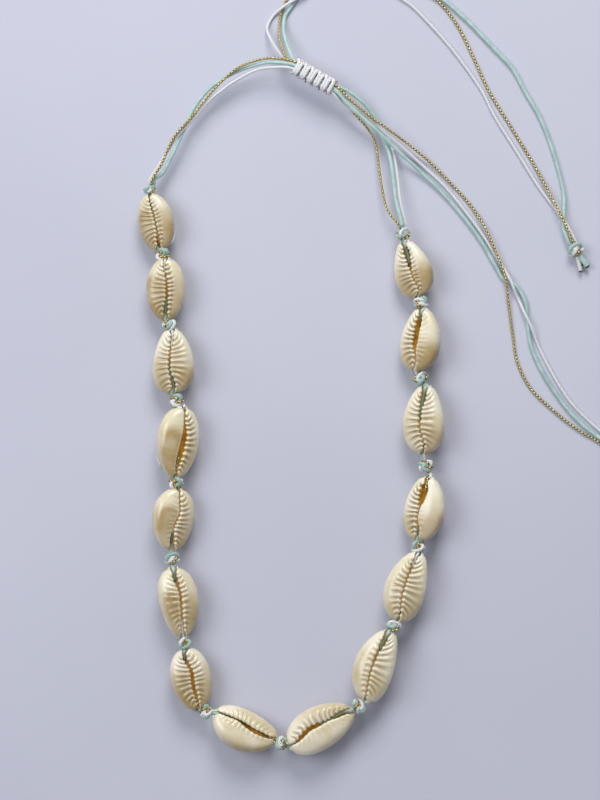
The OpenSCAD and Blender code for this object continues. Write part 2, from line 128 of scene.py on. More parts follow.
def makePiece(name, parts, materials, node):
    # one mesh of several closed tubes, in the place of a node of the frame; each part has a grid, a
    # distance along it, the number of its material, and it may have end faces and marks of its own
    points, faces, uvs, mats, marks = [], [], [], [], {}
    first = 0
    for part in parts:
        n, m = part["grid"].shape[:2]
        flat = part["grid"].reshape(-1, 3)
        flat[:, 2] = np.maximum(flat[:, 2], 0.0)  # soft undersides flatten on the table
        quads = gridFaces(n, m)
        uv = ringUv(n, m, part["distance"])
        ends = part.get("ends", [list(range(m)), [(n - 1) * m + j for j in reversed(range(m))]])
        if signedVolume(flat, quads) < 0:
            quads = quads[:, ::-1]
            uv = uv.reshape(-1, 4, 2)[:, ::-1].reshape(-1, 2)
            ends = [e[::-1] for e in ends]
        points.append(flat)
        faces += (quads + first).tolist() + [[v + first for v in e] for e in ends]
        uvs += [uv, np.zeros((sum(len(e) for e in ends), 2))]
        mats += [part["material"]] * (len(quads) + len(ends))
        for key, values in part.get("marks", {}).items():
            marks.setdefault(key, []).append(values.reshape(-1))
        first += n * m
    mesh = bpy.data.meshes.new(name)
    mesh.from_pydata(np.vstack(points).tolist(), [], faces)
    layer = mesh.uv_layers.new(name="along")
    layer.data.foreach_set("uv", np.vstack(uvs).reshape(-1).astype(np.float32))
    mesh.polygons.foreach_set("material_index", np.array(mats, dtype=np.int32))
    mesh.polygons.foreach_set("use_smooth", np.ones(len(mats), dtype=bool))
    for key, values in marks.items():
        mark = mesh.attributes.new(key, "FLOAT", "POINT")
        mark.data.foreach_set("value", np.concatenate(values).astype(np.float32))
    for material in materials:
        mesh.materials.append(material)
    mesh.update()
    piece = bpy.data.objects.new(name, mesh)
    bpy.context.scene.collection.objects.link(piece)
    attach(piece, "root")
    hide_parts(node)
    return piece


# camera and light

view = {"centreX": 2.7, "centreY": 1.5, "level": 5.0, "distance": 900.0, "seenHeight": 240.0,
        "sensor": 36.0, "clip": (0.01, 20.0)}

cameraData = bpy.data.cameras.new("camera")
cameraData.sensor_width = view["sensor"]
cameraData.lens = view["sensor"] * view["distance"] / view["seenHeight"]
cameraData.clip_start, cameraData.clip_end = view["clip"]
camera = bpy.data.objects.new("camera", cameraData)
camera.location = (view["centreX"] * mm, view["centreY"] * mm,
                   (view["level"] + view["distance"]) * mm)
bpy.context.scene.collection.objects.link(camera)
bpy.context.scene.camera = camera
bpy.context.scene.view_settings.view_transform = "Standard"

lights = {
    "window": {"at": (0.06, 0.75, 0.62), "size": 0.5, "watts": 5.7, "colour": (1.0, 0.99, 0.97)},
    "room": {"at": (-0.75, 0.25, 0.95), "size": 0.8, "watts": 6.5, "colour": (0.94, 0.96, 1.0)},
    "sky": {"colour": (0.90, 0.93, 1.0), "strength": 0.32},
}

for name in ("window", "room"):
    light = bpy.data.lights.new(name, "AREA")
    light.shape = "DISK"
    light.size = lights[name]["size"]
    light.energy = lights[name]["watts"]
    light.color = lights[name]["colour"]
    lamp = bpy.data.objects.new(name, light)
    lamp.location = lights[name]["at"]
    aim = -np.array(lights[name]["at"])
    lamp.rotation_euler = (math.atan2(math.hypot(aim[0], aim[1]), -aim[2]), 0.0,
                           math.atan2(aim[1], aim[0]) - math.pi / 2)
    bpy.context.scene.collection.objects.link(lamp)

world = bpy.data.worlds.new("sky")
world.use_nodes = True
background = world.node_tree.nodes["Background"].inputs
background["Color"].default_value = (*lights["sky"]["colour"], 1.0)
background["Strength"].default_value = lights["sky"]["strength"]
bpy.context.scene.world = world


# small tools for materials

def feed(tree, node, values):
    # into each socket named goes another node's output, a plain value or a colour
    for key, value in values.items():
        socket = node.inputs[key]
        if isinstance(value, bpy.types.NodeSocket):
            tree.links.new(value, socket)
        else:
            socket.default_value = (*value, 1.0) if socket.type == "RGBA" else value


def addNode(tree, kind, values=None, **settings):
    node = tree.nodes.new(kind)
    for key, value in settings.items():
        setattr(node, key, value)
    feed(tree, node, values or {})
    return node


def mixColour(tree, share, first, second):
    values = {0: share, 6: first, 7: second}
    return addNode(tree, "ShaderNodeMix", values, data_type="RGBA").outputs[2]


def sumUp(tree, operation, *values, clamp=False):
    values = dict(enumerate(values))
    return addNode(tree, "ShaderNodeMath", values, operation=operation, use_clamp=clamp).outputs[0]


def spread(tree, value, low, high, toLow=0.0, toHigh=1.0):
    # from toLow where the value is low to toHigh where it is high, with level ends
    values = {"Value": value, "From Min": low, "From Max": high, "To Min": toLow, "To Max": toHigh}
    node = addNode(tree, "ShaderNodeMapRange", values, interpolation_type="SMOOTHSTEP")
    return node.outputs["Result"]


def objectNoise(tree, scale, detail=3.0):
    place = addNode(tree, "ShaderNodeTexCoord").outputs["Object"]
    values = {"Scale": scale, "Detail": detail, "Vector": place}
    return addNode(tree, "ShaderNodeTexNoise", values).outputs["Fac"]


def markOf(tree, name):
    node = addNode(tree, "ShaderNodeAttribute", attribute_type="GEOMETRY", attribute_name=name)
    return node.outputs["Fac"]


def mapOf(tree):
    return addNode(tree, "ShaderNodeUVMap", uv_map="along").outputs[0]


def newMaterial(name, finish):
    material = bpy.data.materials.new(name)
    material.use_nodes = True
    shader = material.node_tree.nodes["Principled BSDF"]
    feed(material.node_tree, shader, finish)
    return material, material.node_tree, shader


def bumpInto(tree, shader, height, distance, strength):
    values = {"Distance": distance, "Strength": strength, "Height": height}
    feed(tree, shader, {"Normal": addNode(tree, "ShaderNodeBump", values).outputs["Normal"]})


def newGroup(name, inputs, outputs):
    group = bpy.data.node_groups.new(name, "ShaderNodeTree")
    for way, sockets in (("INPUT", inputs), ("OUTPUT", outputs)):
        for socket, kind in sockets.items():
            group.interface.new_socket(socket, in_out=way, socket_type="NodeSocket" + kind)
    return group, addNode(group, "NodeGroupInput"), addNode(group, "NodeGroupOutput")


# what more than one material has: plaited yarns, a strand's painted shade, and soft patches

paintedSlotShade = (0.10, 0.12, 0.035)  # painted shade, olive: what a strand turns to deep in a slot or inside a knot
yarnGap = 0.45  # the height, of 1, at which the gap between two yarns ends


def plaitGroup():
    # two crossing families of yarns on the piece's own map: the height is the sine of pi times
    # (round + along) times that of pi times (round - along), both made positive
    group, inside, outside = newGroup(
        "plaitedYarns", {"Map": "Vector", "Length": "Float", "Round": "Float"},
        {"Gap": "Float", "Height": "Float"})
    parts = addNode(group, "ShaderNodeSeparateXYZ", {0: inside.outputs["Map"]})
    along = sumUp(group, "DIVIDE", parts.outputs["X"], inside.outputs["Length"])
    around = sumUp(group, "MULTIPLY", parts.outputs["Y"], inside.outputs["Round"])
    yarns = []
    for sign in ("ADD", "SUBTRACT"):
        turn = sumUp(group, "MULTIPLY", sumUp(group, sign, around, along), math.pi)
        yarns.append(sumUp(group, "ABSOLUTE", sumUp(group, "SINE", turn)))
    height = sumUp(group, "MULTIPLY", *yarns)
    feed(group, outside, {"Height": height, "Gap": spread(group, height, 0.0, yarnGap, 1.0, 0.0)})
    return group


def plaitInto(tree, yarn):
    values = {"Map": mapOf(tree), "Length": yarn["length"], "Round": yarn["round"]}
    node = addNode(tree, "ShaderNodeGroup", values, node_tree=plaitedYarns)
    return node.outputs["Gap"], node.outputs["Height"]


def dimGroup():
    # a strand's colour, mixed with the painted shade as far as the piece's own mark says
    group, inside, outside = newGroup("dimmedStrand", {"Colour": "Color"}, {"Dimmed": "Color"})
    dimmed = mixColour(group, markOf(group, "dim"), inside.outputs["Colour"], paintedSlotShade)
    feed(group, outside, {"Dimmed": dimmed})
    return group


def dimInto(tree, shader, colour):
    dimming = addNode(tree, "ShaderNodeGroup", {"Colour": colour}, node_tree=dimmedStrand)
    feed(tree, shader, {"Base Color": dimming.outputs["Dimmed"]})


def patchGroup():
    # a noise over the piece in its own metres, cut off smoothly between low and high
    inputs = dict.fromkeys(("Scale", "Detail", "Low", "High"), "Float")
    group, inside, outside = newGroup("softPatches", inputs, {"Patches": "Float"})
    scale, detail, low, high = (inside.outputs[name] for name in inputs)
    feed(group, outside, {"Patches": spread(group, objectNoise(group, scale, detail), low, high)})
    return group


def patches(tree, look):
    return addNode(tree, "ShaderNodeGroup", look, node_tree=softPatches).outputs["Patches"]


plaitedYarns = plaitGroup()
dimmedStrand = dimGroup()
softPatches = patchGroup()


# materials: finish is what the shader's own sockets say, relief the bump's distance and strength

whiteYarn = {
    # gap is the painted shade between the yarns
    "colour": (0.93, 0.93, 0.94), "fuzz": (0.80, 0.80, 0.82), "gap": (0.52, 0.52, 0.54),
    "length": 0.9, "round": 4.0, "fuzzShare": 0.25,
    "fuzzPatches": {"Scale": 1800.0, "Detail": 3.0, "Low": 0.3, "High": 0.7},
    "finish": {"Roughness": 0.7, "Sheen Weight": 0.3}, "relief": (0.0001, 0.6),
}


def whiteYarnMaterial():
    material, tree, shader = newMaterial("whitePlait", whiteYarn["finish"])
    gap, height = plaitInto(tree, whiteYarn)
    fuzz = sumUp(tree, "MULTIPLY", patches(tree, whiteYarn["fuzzPatches"]), whiteYarn["fuzzShare"])
    colour = mixColour(tree, fuzz, whiteYarn["colour"], whiteYarn["fuzz"])
    # darker in the gaps between the yarns: painted shade
    dimInto(tree, shader, mixColour(tree, gap, colour, whiteYarn["gap"]))
    bumpInto(tree, shader, height, *whiteYarn["relief"])
    return material


goldYarn = {
    # gap is the painted shade between the yarns
    "colour": (0.74, 0.55, 0.15), "bright": (1.0, 0.91, 0.55), "gap": (0.05, 0.034, 0.01),
    "length": 1.1, "round": 2.0, "gapFull": 0.36, "metal": (0.45, 0.1),  # on a yarn, in a gap
    "glints": {"Scale": 1500.0, "Detail": 3.0, "Low": 0.45, "High": 0.65},
    "finish": {"Roughness": 0.34}, "relief": (0.0001, 0.8),
}


def goldYarnMaterial():
    material, tree, shader = newMaterial("goldPlait", goldYarn["finish"])
    gap, height = plaitInto(tree, goldYarn)
    glints, deep = patches(tree, goldYarn["glints"]), spread(tree, gap, 0.0, goldYarn["gapFull"])
    colour = mixColour(tree, glints, goldYarn["colour"], goldYarn["bright"])
    # near black in the gaps between the yarns: painted shade
    dimInto(tree, shader, mixColour(tree, deep, colour, goldYarn["gap"]))
    feed(tree, shader, {"Metallic": spread(tree, gap, 0.0, 1.0, *goldYarn["metal"])})
    bumpInto(tree, shader, height, *goldYarn["relief"])
    return material


mintSatin = {
    # light is a painted sheen laid in streaks; shade is painted shade in the grooves between the
    # threads
    "colour": (0.41, 0.62, 0.575), "light": (0.55, 0.74, 0.70), "shade": (0.18, 0.33, 0.29),
    "threads": 5, "lay": 9.0,  # threads round the cord, and radians they turn in a millimetre
    "lines": (-1.0, -0.2, 0.45, 0.0),  # from the deepest, shaded by 0.45, to where no shade is left
    "streaks": {"Scale": 420.0, "Detail": 3.0, "Low": 0.35, "High": 0.65},
    "finish": {"Roughness": 0.42, "Sheen Weight": 0.15, "Specular IOR Level": 0.5},
    "relief": (0.00004, 0.5),
}


def mintSatinMaterial():
    material, tree, shader = newMaterial("mintSatin", mintSatin["finish"])
    parts = addNode(tree, "ShaderNodeSeparateXYZ", {0: mapOf(tree)})
    along = sumUp(tree, "MULTIPLY", parts.outputs["X"], mintSatin["lay"])
    around = sumUp(tree, "MULTIPLY", parts.outputs["Y"], 2 * math.pi * mintSatin["threads"])
    thread = sumUp(tree, "SINE", sumUp(tree, "ADD", along, around))
    streaks, lines = patches(tree, mintSatin["streaks"]), spread(tree, thread, *mintSatin["lines"])
    # lighter streaks: painted sheen
    colour = mixColour(tree, streaks, mintSatin["colour"], mintSatin["light"])
    dimInto(tree, shader, mixColour(tree, lines, colour, mintSatin["shade"]))
    bumpInto(tree, shader, thread, *mintSatin["relief"])
    return material


singedTip = {"dark": (0.03, 0.022, 0.016), "light": (0.10, 0.07, 0.045),
             "patches": {"Scale": 900.0, "Detail": 3.0, "Low": 0.4, "High": 0.6},
             "finish": {"Roughness": 0.45}}


def singedMaterial():
    material, tree, shader = newMaterial("singedTip", singedTip["finish"])
    patch = patches(tree, singedTip["patches"])
    colour = mixColour(tree, patch, singedTip["dark"], singedTip["light"])
    feed(tree, shader, {"Base Color": colour})
    return material


cowrie = {
    "ivory": (0.83, 0.76, 0.53), "cream": (0.94, 0.885, 0.735), "tanAndShade": (0.46, 0.335, 0.15),
    "brownAndShade": (0.25, 0.15, 0.065), "groove": (0.33, 0.235, 0.105), "grooveShare": 0.92,
    "patchy": 0.72,  # what of the tan and brown, and of their painted shade, is left in the clouds
    "amber": (0.66, 0.43, 0.095), "umber": (0.40, 0.22, 0.05), "deep": (0.56, 0.42, 0.22),
    # painted glow inside the lips, weaker in the umber patches, and painted light lifting the shade
    # of closed seams
    "paintedGlow": (0.165, 0.088, 0.008), "paintedUmberGlow": (0.095, 0.048, 0.005), "paintedSeamGlow": (0.15, 0.105, 0.05),
    "clouds": {"Scale": 110.0, "Detail": 4.0, "Low": 0.35, "High": 0.68},
    "flecks": {"Scale": 900.0, "Detail": 2.0, "Low": 0.3, "High": 0.8},
    "patches": {"Scale": 420.0, "Detail": 3.0, "Low": 0.38, "High": 0.62},
    "roughness": (0.26, 0.34), "relief": (0.00003, 0.25),
    "finish": {"Emission Strength": 1.0, "Coat Weight": 0.6, "Coat Roughness": 0.16,
               "Subsurface Weight": 0.25, "Subsurface Radius": (1.0, 0.55, 0.25),
               "Subsurface Scale": 0.0012},
}


def shellMaterial():
    material, tree, shader = newMaterial("cowrieShell", cowrie["finish"])
    cloud, patch = patches(tree, cowrie["clouds"]), patches(tree, cowrie["patches"])
    inside, deep = markOf(tree, "inside"), markOf(tree, "deep")
    colour = mixColour(tree, cloud, cowrie["ivory"], cowrie["cream"])
    patchy = spread(tree, cloud, 0.0, 1.0, 1.0, cowrie["patchy"])
    # tan and brown, partly the shell's own colour and partly painted shade
    for tint in ("tanAndShade", "brownAndShade"):
        share = sumUp(tree, "MULTIPLY", markOf(tree, tint), patchy, clamp=True)
        colour = mixColour(tree, share, colour, cowrie[tint])
    # darker in the grooves between the teeth: partly tan, partly painted shade
    groove = sumUp(tree, "MULTIPLY", markOf(tree, "groove"), cowrie["grooveShare"])
    colour = mixColour(tree, groove, colour, cowrie["groove"])
    lining = mixColour(tree, patch, cowrie["amber"], cowrie["umber"])
    colour = mixColour(tree, inside, colour, lining)
    # painted glow inside the lips, and painted light on closed seams where they lie in shade
    paintedGlow = mixColour(tree, patch, cowrie["paintedGlow"], cowrie["paintedUmberGlow"])
    paintedGlow = mixColour(tree, inside, (0.0, 0.0, 0.0), paintedGlow)
    feed(tree, shader, {"Base Color": mixColour(tree, deep, colour, cowrie["deep"]),
                        "Emission Color": mixColour(tree, deep, paintedGlow, cowrie["paintedSeamGlow"]),
                        "Roughness": spread(tree, cloud, 0.0, 1.0, *cowrie["roughness"])})
    bumpInto(tree, shader, patches(tree, cowrie["flecks"]), *cowrie["relief"])
    return material


strandKinds = ("mint", "white", "gold", "singed")
materials = {"mint": mintSatinMaterial(), "white": whiteYarnMaterial(), "gold": goldYarnMaterial(),
             "singed": singedMaterial(), "shell": shellMaterial()}
strandMaterials = [materials[kind] for kind in strandKinds]


# floor

paper = {"colour": (0.595, 0.605, 0.70), "shade": (0.56, 0.57, 0.665), "size": 3.0,
         "clouds": {"Scale": 7.0, "Detail": 3.0, "Low": 0.3, "High": 0.7},
         "finish": {"Roughness": 0.75}, "fibres": 520.0, "relief": (0.0001, 0.3)}


def paperMaterial():
    material, tree, shader = newMaterial("palePaper", paper["finish"])
    colour = mixColour(tree, patches(tree, paper["clouds"]), paper["colour"], paper["shade"])
    feed(tree, shader, {"Base Color": colour})
    bumpInto(tree, shader, objectNoise(tree, paper["fibres"]), *paper["relief"])
    return material


half = paper["size"] / 2
corners = [(-half, -half, 0), (half, -half, 0), (half, half, 0), (-half, half, 0)]
floorMesh = bpy.data.meshes.new("floor")
floorMesh.from_pydata(corners, [], [(0, 1, 2, 3)])
floorMesh.materials.append(paperMaterial())
floor = bpy.data.objects.new("floor", floorMesh)
bpy.context.scene.collection.objects.link(floor)
print("camera, floor, light and materials made")


# strands, and the tie cords on their routes in millimetres

strands = {
    "mint": {"diameter": 1.1, "sides": 10, "step": 0.4,
             "plait": {"round": 1, "length": 2.0, "depth": 0.0}},
    "white": {"diameter": 0.9, "sides": 12, "step": 0.18,
              "plait": {"round": 4, "length": 0.9, "depth": 0.16}},
    "gold": {"diameter": 0.8, "sides": 12, "step": 0.18,
             "plait": {"round": 2, "length": 1.1, "depth": 0.3}},
}

routes = {
    "left_gold": [
        [-41.9, 66.3, 5.9], [-41.5, 67.8, 6.1], [-38.9, 72.0, 6.2], [-36.7, 77.0, 6.1],
        [-34.4, 81.2, 6.0], [-30.2, 85.8, 6.0], [-25.9, 91.2, 6.0], [-21.3, 96.4, 6.1],
        [-16.0, 100.9, 6.3], [-9.5, 103.4, 6.5], [-4.4, 103.8, 6.6], [1.5, 102.6, 6.6],
        [7.3, 99.2, 6.6], [13.1, 95.9, 6.6], [18.2, 91.0, 6.3], [23.6, 86.6, 5.4],
        [29.4, 82.6, 4.2], [34.9, 78.7, 2.7], [41.8, 73.1, 1.1], [47.9, 67.0, 0.5],
        [54.0, 60.3, 0.5], [58.4, 53.4, 1.3], [62.0, 45.4, 1.7], [64.6, 37.8, 1.9],
        [65.6, 30.0, 0.9], [66.8, 21.2, 0.45], [68.2, 12.9, 0.45], [72.3, 4.9, 0.45],
        [79.2, -1.8, 0.45], [86.2, -7.3, 0.45], [92.3, -10.9, 0.5], [96.4, -13.3, 1.2],
        [98.5, -14.6, 1.9]],
    "left_mint": [
        [-41.1, 66.5, 4.9], [-40.8, 67.8, 4.9], [-38.4, 69.8, 4.9], [-35.9, 74.5, 4.8],
        [-33.6, 79.4, 4.4], [-31.5, 84.0, 4.0], [-29.7, 88.2, 4.0], [-26.6, 92.6, 4.4],
        [-22.8, 96.3, 4.7], [-16.9, 99.7, 5.0], [-10.4, 102.0, 5.5], [-5.6, 102.7, 6.1],
        [0.8, 101.8, 6.6], [6.8, 98.3, 6.6], [12.6, 95.0, 6.6], [17.2, 89.9, 6.3],
        [22.0, 85.7, 5.4], [27.4, 80.9, 4.2], [33.2, 75.4, 2.8], [39.6, 69.7, 1.2],
        [46.2, 63.3, 0.6], [52.4, 56.1, 0.6], [57.4, 49.2, 0.6], [61.2, 42.6, 0.6],
        [64.2, 37.8, 0.6], [68.0, 35.7, 0.6], [70.7, 30.9, 0.6], [71.3, 25.6, 0.6],
        [72.3, 17.9, 0.6], [76.3, 9.0, 0.6], [82.9, -0.7, 0.6], [88.2, -6.3, 0.6],
        [93.0, -9.9, 0.9], [96.6, -12.3, 2.0], [99.1, -13.8, 3.0]],
    "left_white": [
        [-42.4, 66.4, 4.7], [-42.1, 68.0, 4.9], [-39.3, 72.3, 5.2], [-36.4, 77.2, 5.2],
        [-33.4, 81.4, 5.1], [-29.4, 85.6, 5.1], [-24.6, 91.2, 5.1], [-20.0, 95.0, 5.1],
        [-15.2, 98.1, 5.3], [-10.0, 100.5, 5.9], [-5.0, 101.1, 6.5], [0.4, 100.8, 6.6],
        [6.2, 97.4, 6.6], [11.9, 93.9, 6.5], [16.3, 89.8, 4.9], [22.8, 85.9, 4.3],
        [28.4, 81.6, 3.3], [34.2, 77.0, 1.8], [40.4, 71.5, 0.6], [46.4, 65.9, 0.5],
        [52.4, 58.6, 0.5], [58.0, 50.9, 0.5], [62.2, 44.2, 0.5], [65.7, 38.3, 1.8],
        [67.0, 35.3, 1.7], [68.5, 32.0, 0.7], [70.4, 27.6, 1.7], [72.6, 23.0, 1.6],
        [74.6, 17.8, 0.5], [78.8, 9.4, 0.5], [84.1, 1.1, 0.5], [89.8, -4.8, 0.5], [94.0, -8.4, 0.6],
        [97.4, -11.1, 1.2], [99.7, -13.0, 1.9]],
    "right_gold": [
        [32.5, 53.5, 4.6], [31.8, 54.9, 4.5], [29.0, 58.6, 3.6], [27.4, 65.0, 2.9],
        [26.4, 72.0, 2.2], [25.4, 79.0, 1.7], [23.0, 83.2, 2.1], [19.4, 87.2, 2.9],
        [15.8, 91.0, 4.1], [12.1, 94.1, 5.4], [6.3, 97.5, 5.4], [0.5, 100.9, 5.4],
        [-0.9, 102.8, 5.6], [-1.8, 105.0, 5.3], [-3.1, 108.4, 4.2], [-3.6, 112.4, 2.1],
        [-3.2, 116.8, 0.5], [-1.6, 121.6, 0.45], [1.6, 127.4, 0.45], [7.6, 132.4, 0.45],
        [15.4, 134.9, 0.45], [23.6, 134.6, 0.8], [31.4, 131.2, 1.7], [38.4, 126.0, 1.4],
        [44.6, 121.5, 0.5], [50.1, 114.5, 0.45], [54.8, 105.1, 0.45], [59.7, 94.5, 0.45],
        [65.9, 84.4, 0.45], [72.8, 73.1, 0.5], [77.4, 64.6, 1.4], [80.6, 58.2, 2.6],
        [83.2, 52.6, 3.1], [84.7, 48.9, 3.1]],
    "right_mint": [
        [33.4, 53.7, 5.7], [33.0, 55.4, 5.5], [31.5, 61.6, 4.3], [30.7, 68.6, 3.3],
        [29.6, 75.2, 2.4], [27.3, 81.4, 1.9], [25.0, 86.6, 2.4], [21.6, 90.8, 3.7],
        [17.4, 93.9, 5.0], [13.1, 95.9, 5.4], [7.3, 99.3, 5.4], [1.5, 102.6, 5.4],
        [-0.2, 105.6, 5.0], [-1.6, 109.4, 3.6], [-2.2, 113.2, 1.8], [-1.8, 117.0, 0.7],
        [0.2, 120.2, 0.6], [3.0, 124.4, 0.6], [8.4, 129.2, 0.6], [16.0, 132.2, 0.6],
        [24.6, 132.2, 0.6], [32.6, 130.2, 0.6], [39.8, 126.6, 0.6], [46.6, 121.6, 0.6],
        [53.6, 115.3, 0.6], [60.5, 108.1, 0.6], [66.7, 101.4, 0.6], [70.5, 94.5, 0.6],
        [75.3, 86.0, 0.6], [79.4, 75.0, 0.6], [82.0, 64.6, 0.7], [82.2, 58.6, 1.4],
        [82.0, 53.6, 1.8], [83.0, 50.6, 1.9], [83.8, 48.6, 1.9]],
    "right_white": [
        [34.4, 53.9, 4.6], [34.1, 55.2, 4.5], [32.8, 61.6, 3.7], [32.0, 68.8, 2.7],
        [30.8, 75.8, 1.4], [28.4, 81.8, 0.6], [24.8, 85.8, 1.2], [20.6, 89.4, 2.7],
        [16.4, 92.4, 4.5], [12.6, 95.0, 5.4], [6.8, 98.3, 5.4], [1.5, 101.4, 5.3],
        [-0.2, 102.4, 4.7], [-1.7, 103.6, 4.0], [-3.9, 106.4, 3.5], [-6.0, 109.8, 2.8],
        [-7.2, 113.4, 1.2], [-5.6, 117.0, 0.5], [-2.6, 119.7, 1.5], [0.4, 121.6, 1.7],
        [4.0, 123.6, 1.6], [9.8, 126.4, 0.5], [17.4, 127.8, 0.5], [25.4, 126.2, 0.5],
        [34.9, 121.5, 0.5], [42.4, 114.3, 0.5], [49.9, 105.6, 0.5], [57.3, 95.1, 0.5],
        [61.3, 87.2, 0.5], [67.7, 77.0, 0.5], [74.2, 66.5, 0.5], [79.5, 59.3, 0.5],
        [82.8, 55.0, 0.6], [84.6, 51.6, 1.4], [85.6, 49.2, 1.9]],
}


def strandPart(colour, path, step=None, taper=None, fat=1.0, shade=((0.0, 1.0), (0.0, 0.0))):
    # one strand along a path in metres, with its plait as relief; fat is its width in a knot, and
    # shade how much painted shade it has at places between 0 and 1 along it
    strand = strands[colour]
    path, distance = evenly(path, (step or strand["step"]) * mm)
    share = distance / distance[-1]
    radius = plaitRadius(distance, strand["sides"], strand["diameter"] * fat * mm, strand["plait"])
    if taper:
        radius = radius * taper(share)[:, None]
    return {"grid": tubeGrid(path, radius, strand["sides"]), "distance": distance, "line": path,
            "material": strandKinds.index(colour),
            "marks": {"dim": np.interp(share, *shade)[:, None] + 0 * radius}}


cordPieces = {}
for routeName, points in routes.items():
    colour = routeName.split("_")[1]
    part = strandPart(colour, smoothRoute(np.array(points) * mm))
    piece = makePiece("tie_" + routeName, [part], strandMaterials, "cord_" + routeName)
    cordPieces[routeName] = (piece, part["line"], part["distance"][-1],
                             strands[colour]["diameter"] * mm)
print("tie cords made:", len(cordPieces))


# knots: the three strands run together through an overhand knot, a trefoil opened at one lobe

knotShape = {
    "long": 0.33, "wide": 0.42, "thick": 1.22,  # along the string, across it and upward
    "centre": 0.35, "skip": 0.2,  # shift across, and how wide the lobe is open
    "bundle": 0.55, "twist": 1.0,  # the strands' distance from the middle, and how fast they wind
    "samples": 72, "perStretch": 4, "step": 0.2,
    "length": 4.6, "firstLength": 2.8, "gap": 0.3,  # gap at the first and last shell
    "fat": {"mint": 1.2, "white": 1.26, "gold": 1.05},
    "dim": {"mint": 0.3, "white": 0.03, "gold": 0.1},  # share of the painted slot shade, standing for the shade inside the knot
}


def knotParts(start, end, comeFrom, goTo, look):
    # middle of the bundle: (sin t + 2 sin 2t, cos t - 2 cos 2t, -sin 3t), with t over one turn from
    # the lobe that is open; each strand winds slowly round it, a third of a turn from the next
    axis = unit(end - start)
    turn = math.radians(look["turn"])
    level = unit(np.cross(axis, [0.0, 0.0, 1.0]))
    across = math.cos(turn) * level + math.sin(turn) * np.cross(level, axis)
    upward = np.cross(across, axis)
    size = look["size"] * mm
    t = np.linspace(np.pi + knotShape["skip"], 3 * np.pi - knotShape["skip"], knotShape["samples"])
    along = look["squash"] * size * knotShape["long"] * (np.sin(t) + 2 * np.sin(2 * t))
    beside = size * knotShape["wide"] * (np.cos(t) - 2 * np.cos(2 * t) + knotShape["centre"])
    height = -look["hand"] * size * knotShape["thick"] * np.sin(3 * t)
    path = (start + end) / 2 + along[:, None] * axis + beside[:, None] * across \
        + height[:, None] * upward
    forward = np.gradient(path, axis=0)
    side = unit(np.cross(forward, upward))
    over = unit(np.cross(side, forward))
    parts = []
    for k, colour in enumerate(strands):
        place = 2 * np.pi * k / 3 + math.radians(look["phase"]) \
            + knotShape["twist"] * (t - 2 * np.pi)
        aside = np.cos(place)[:, None] * over + np.sin(place)[:, None] * side
        wound = path + knotShape["bundle"] * size * aside
        wound = np.vstack([comeFrom[colour][None, :], wound, goTo[colour][None, :]])
        parts.append(strandPart(colour, smoothRoute(wound, knotShape["perStretch"]),
                                step=knotShape["step"], fat=knotShape["fat"][colour] * look["size"],
                                shade=((0.0, 1.0), (knotShape["dim"][colour],) * 2)))
    return parts


endKnots = {
    "end_knot_upper": {
        "at": (85.65, 46.65, 2.4), "turn": -68.0, "side": "right",
        "look": {"hand": 1, "turn": 60.0, "phase": 0.0, "size": 1.05, "squash": 1.1}},
    "end_knot_lower": {
        "at": (101.1, -15.2, 2.4), "turn": -35.0, "side": "left",
        "look": {"hand": -1, "turn": 110.0, "phase": 120.0, "size": 1.05, "squash": 1.1}},
}
cutEnd = {  # ways: the turn from the knot's own, the fall, and the share of the length
    "ways": {"white": (-8.0, 9.0, 1.0), "gold": (3.0, 17.0, 0.62), "mint": (14.0, 7.0, 0.9)},
    "length": 4.2, "joined": 0.8, "fat": 1.4, "samples": 12,
    "singed": 0.5, "overlap": 0.1, "step": 0.08,  # the singed stretch, beyond the cut and before it
    "tipFat": 1.06, "tipReach": 0.97, "tipEnd": 0.02,
}


def roundedTip(share):
    # a little fatter, then rounded off: the root of 1 minus the fourth power of the share along
    rounded = np.clip(1 - (cutEnd["tipReach"] * share)**4, cutEnd["tipEnd"], 1)
    return cutEnd["tipFat"] * np.sqrt(rounded)


for name, knot in endKnots.items():
    at = np.array(knot["at"]) * mm
    turn = math.radians(knot["turn"])
    reach = np.array([math.cos(turn), math.sin(turn), 0.0]) * knotShape["length"] / 2 * mm
    arrive, leave, parts = {}, {}, []
    for colour, (spreadTurn, drop, share) in cutEnd["ways"].items():
        arrive[colour] = cordPieces[knot["side"] + "_" + colour][1][-1]
        way, fall = turn + math.radians(spreadTurn), math.radians(drop)
        out = np.array([math.cos(way) * math.cos(fall), math.sin(way) * math.cos(fall),
                        -math.sin(fall)])
        base = at + out * knotShape["length"] / 4 * mm
        tip = at + out * (knotShape["length"] / 2 + cutEnd["length"] * share) * mm
        leave[colour] = base + out * cutEnd["joined"] * mm
        cut = strandPart(colour, np.linspace(base, tip, cutEnd["samples"]), fat=cutEnd["fat"])
        singedFrom, singedTo = tip - out * cutEnd["overlap"] * mm, tip + out * cutEnd["singed"] * mm
        singed = strandPart(colour, np.linspace(singedFrom, singedTo, cutEnd["samples"]),
                            step=cutEnd["step"], fat=cutEnd["fat"], taper=roundedTip)
        parts += [cut, dict(singed, material=strandKinds.index("singed"))]
    parts += knotParts(at - reach, at + reach, arrive, leave, knot["look"])
    makePiece(name + "_tied", parts, strandMaterials, name)

print("end knots made")


# shells: the long axis as seen, the width, the roll, the slot's place beside the axis at four
# shares of the length from the upper tip, and how the outline is fuller at one end and bowed

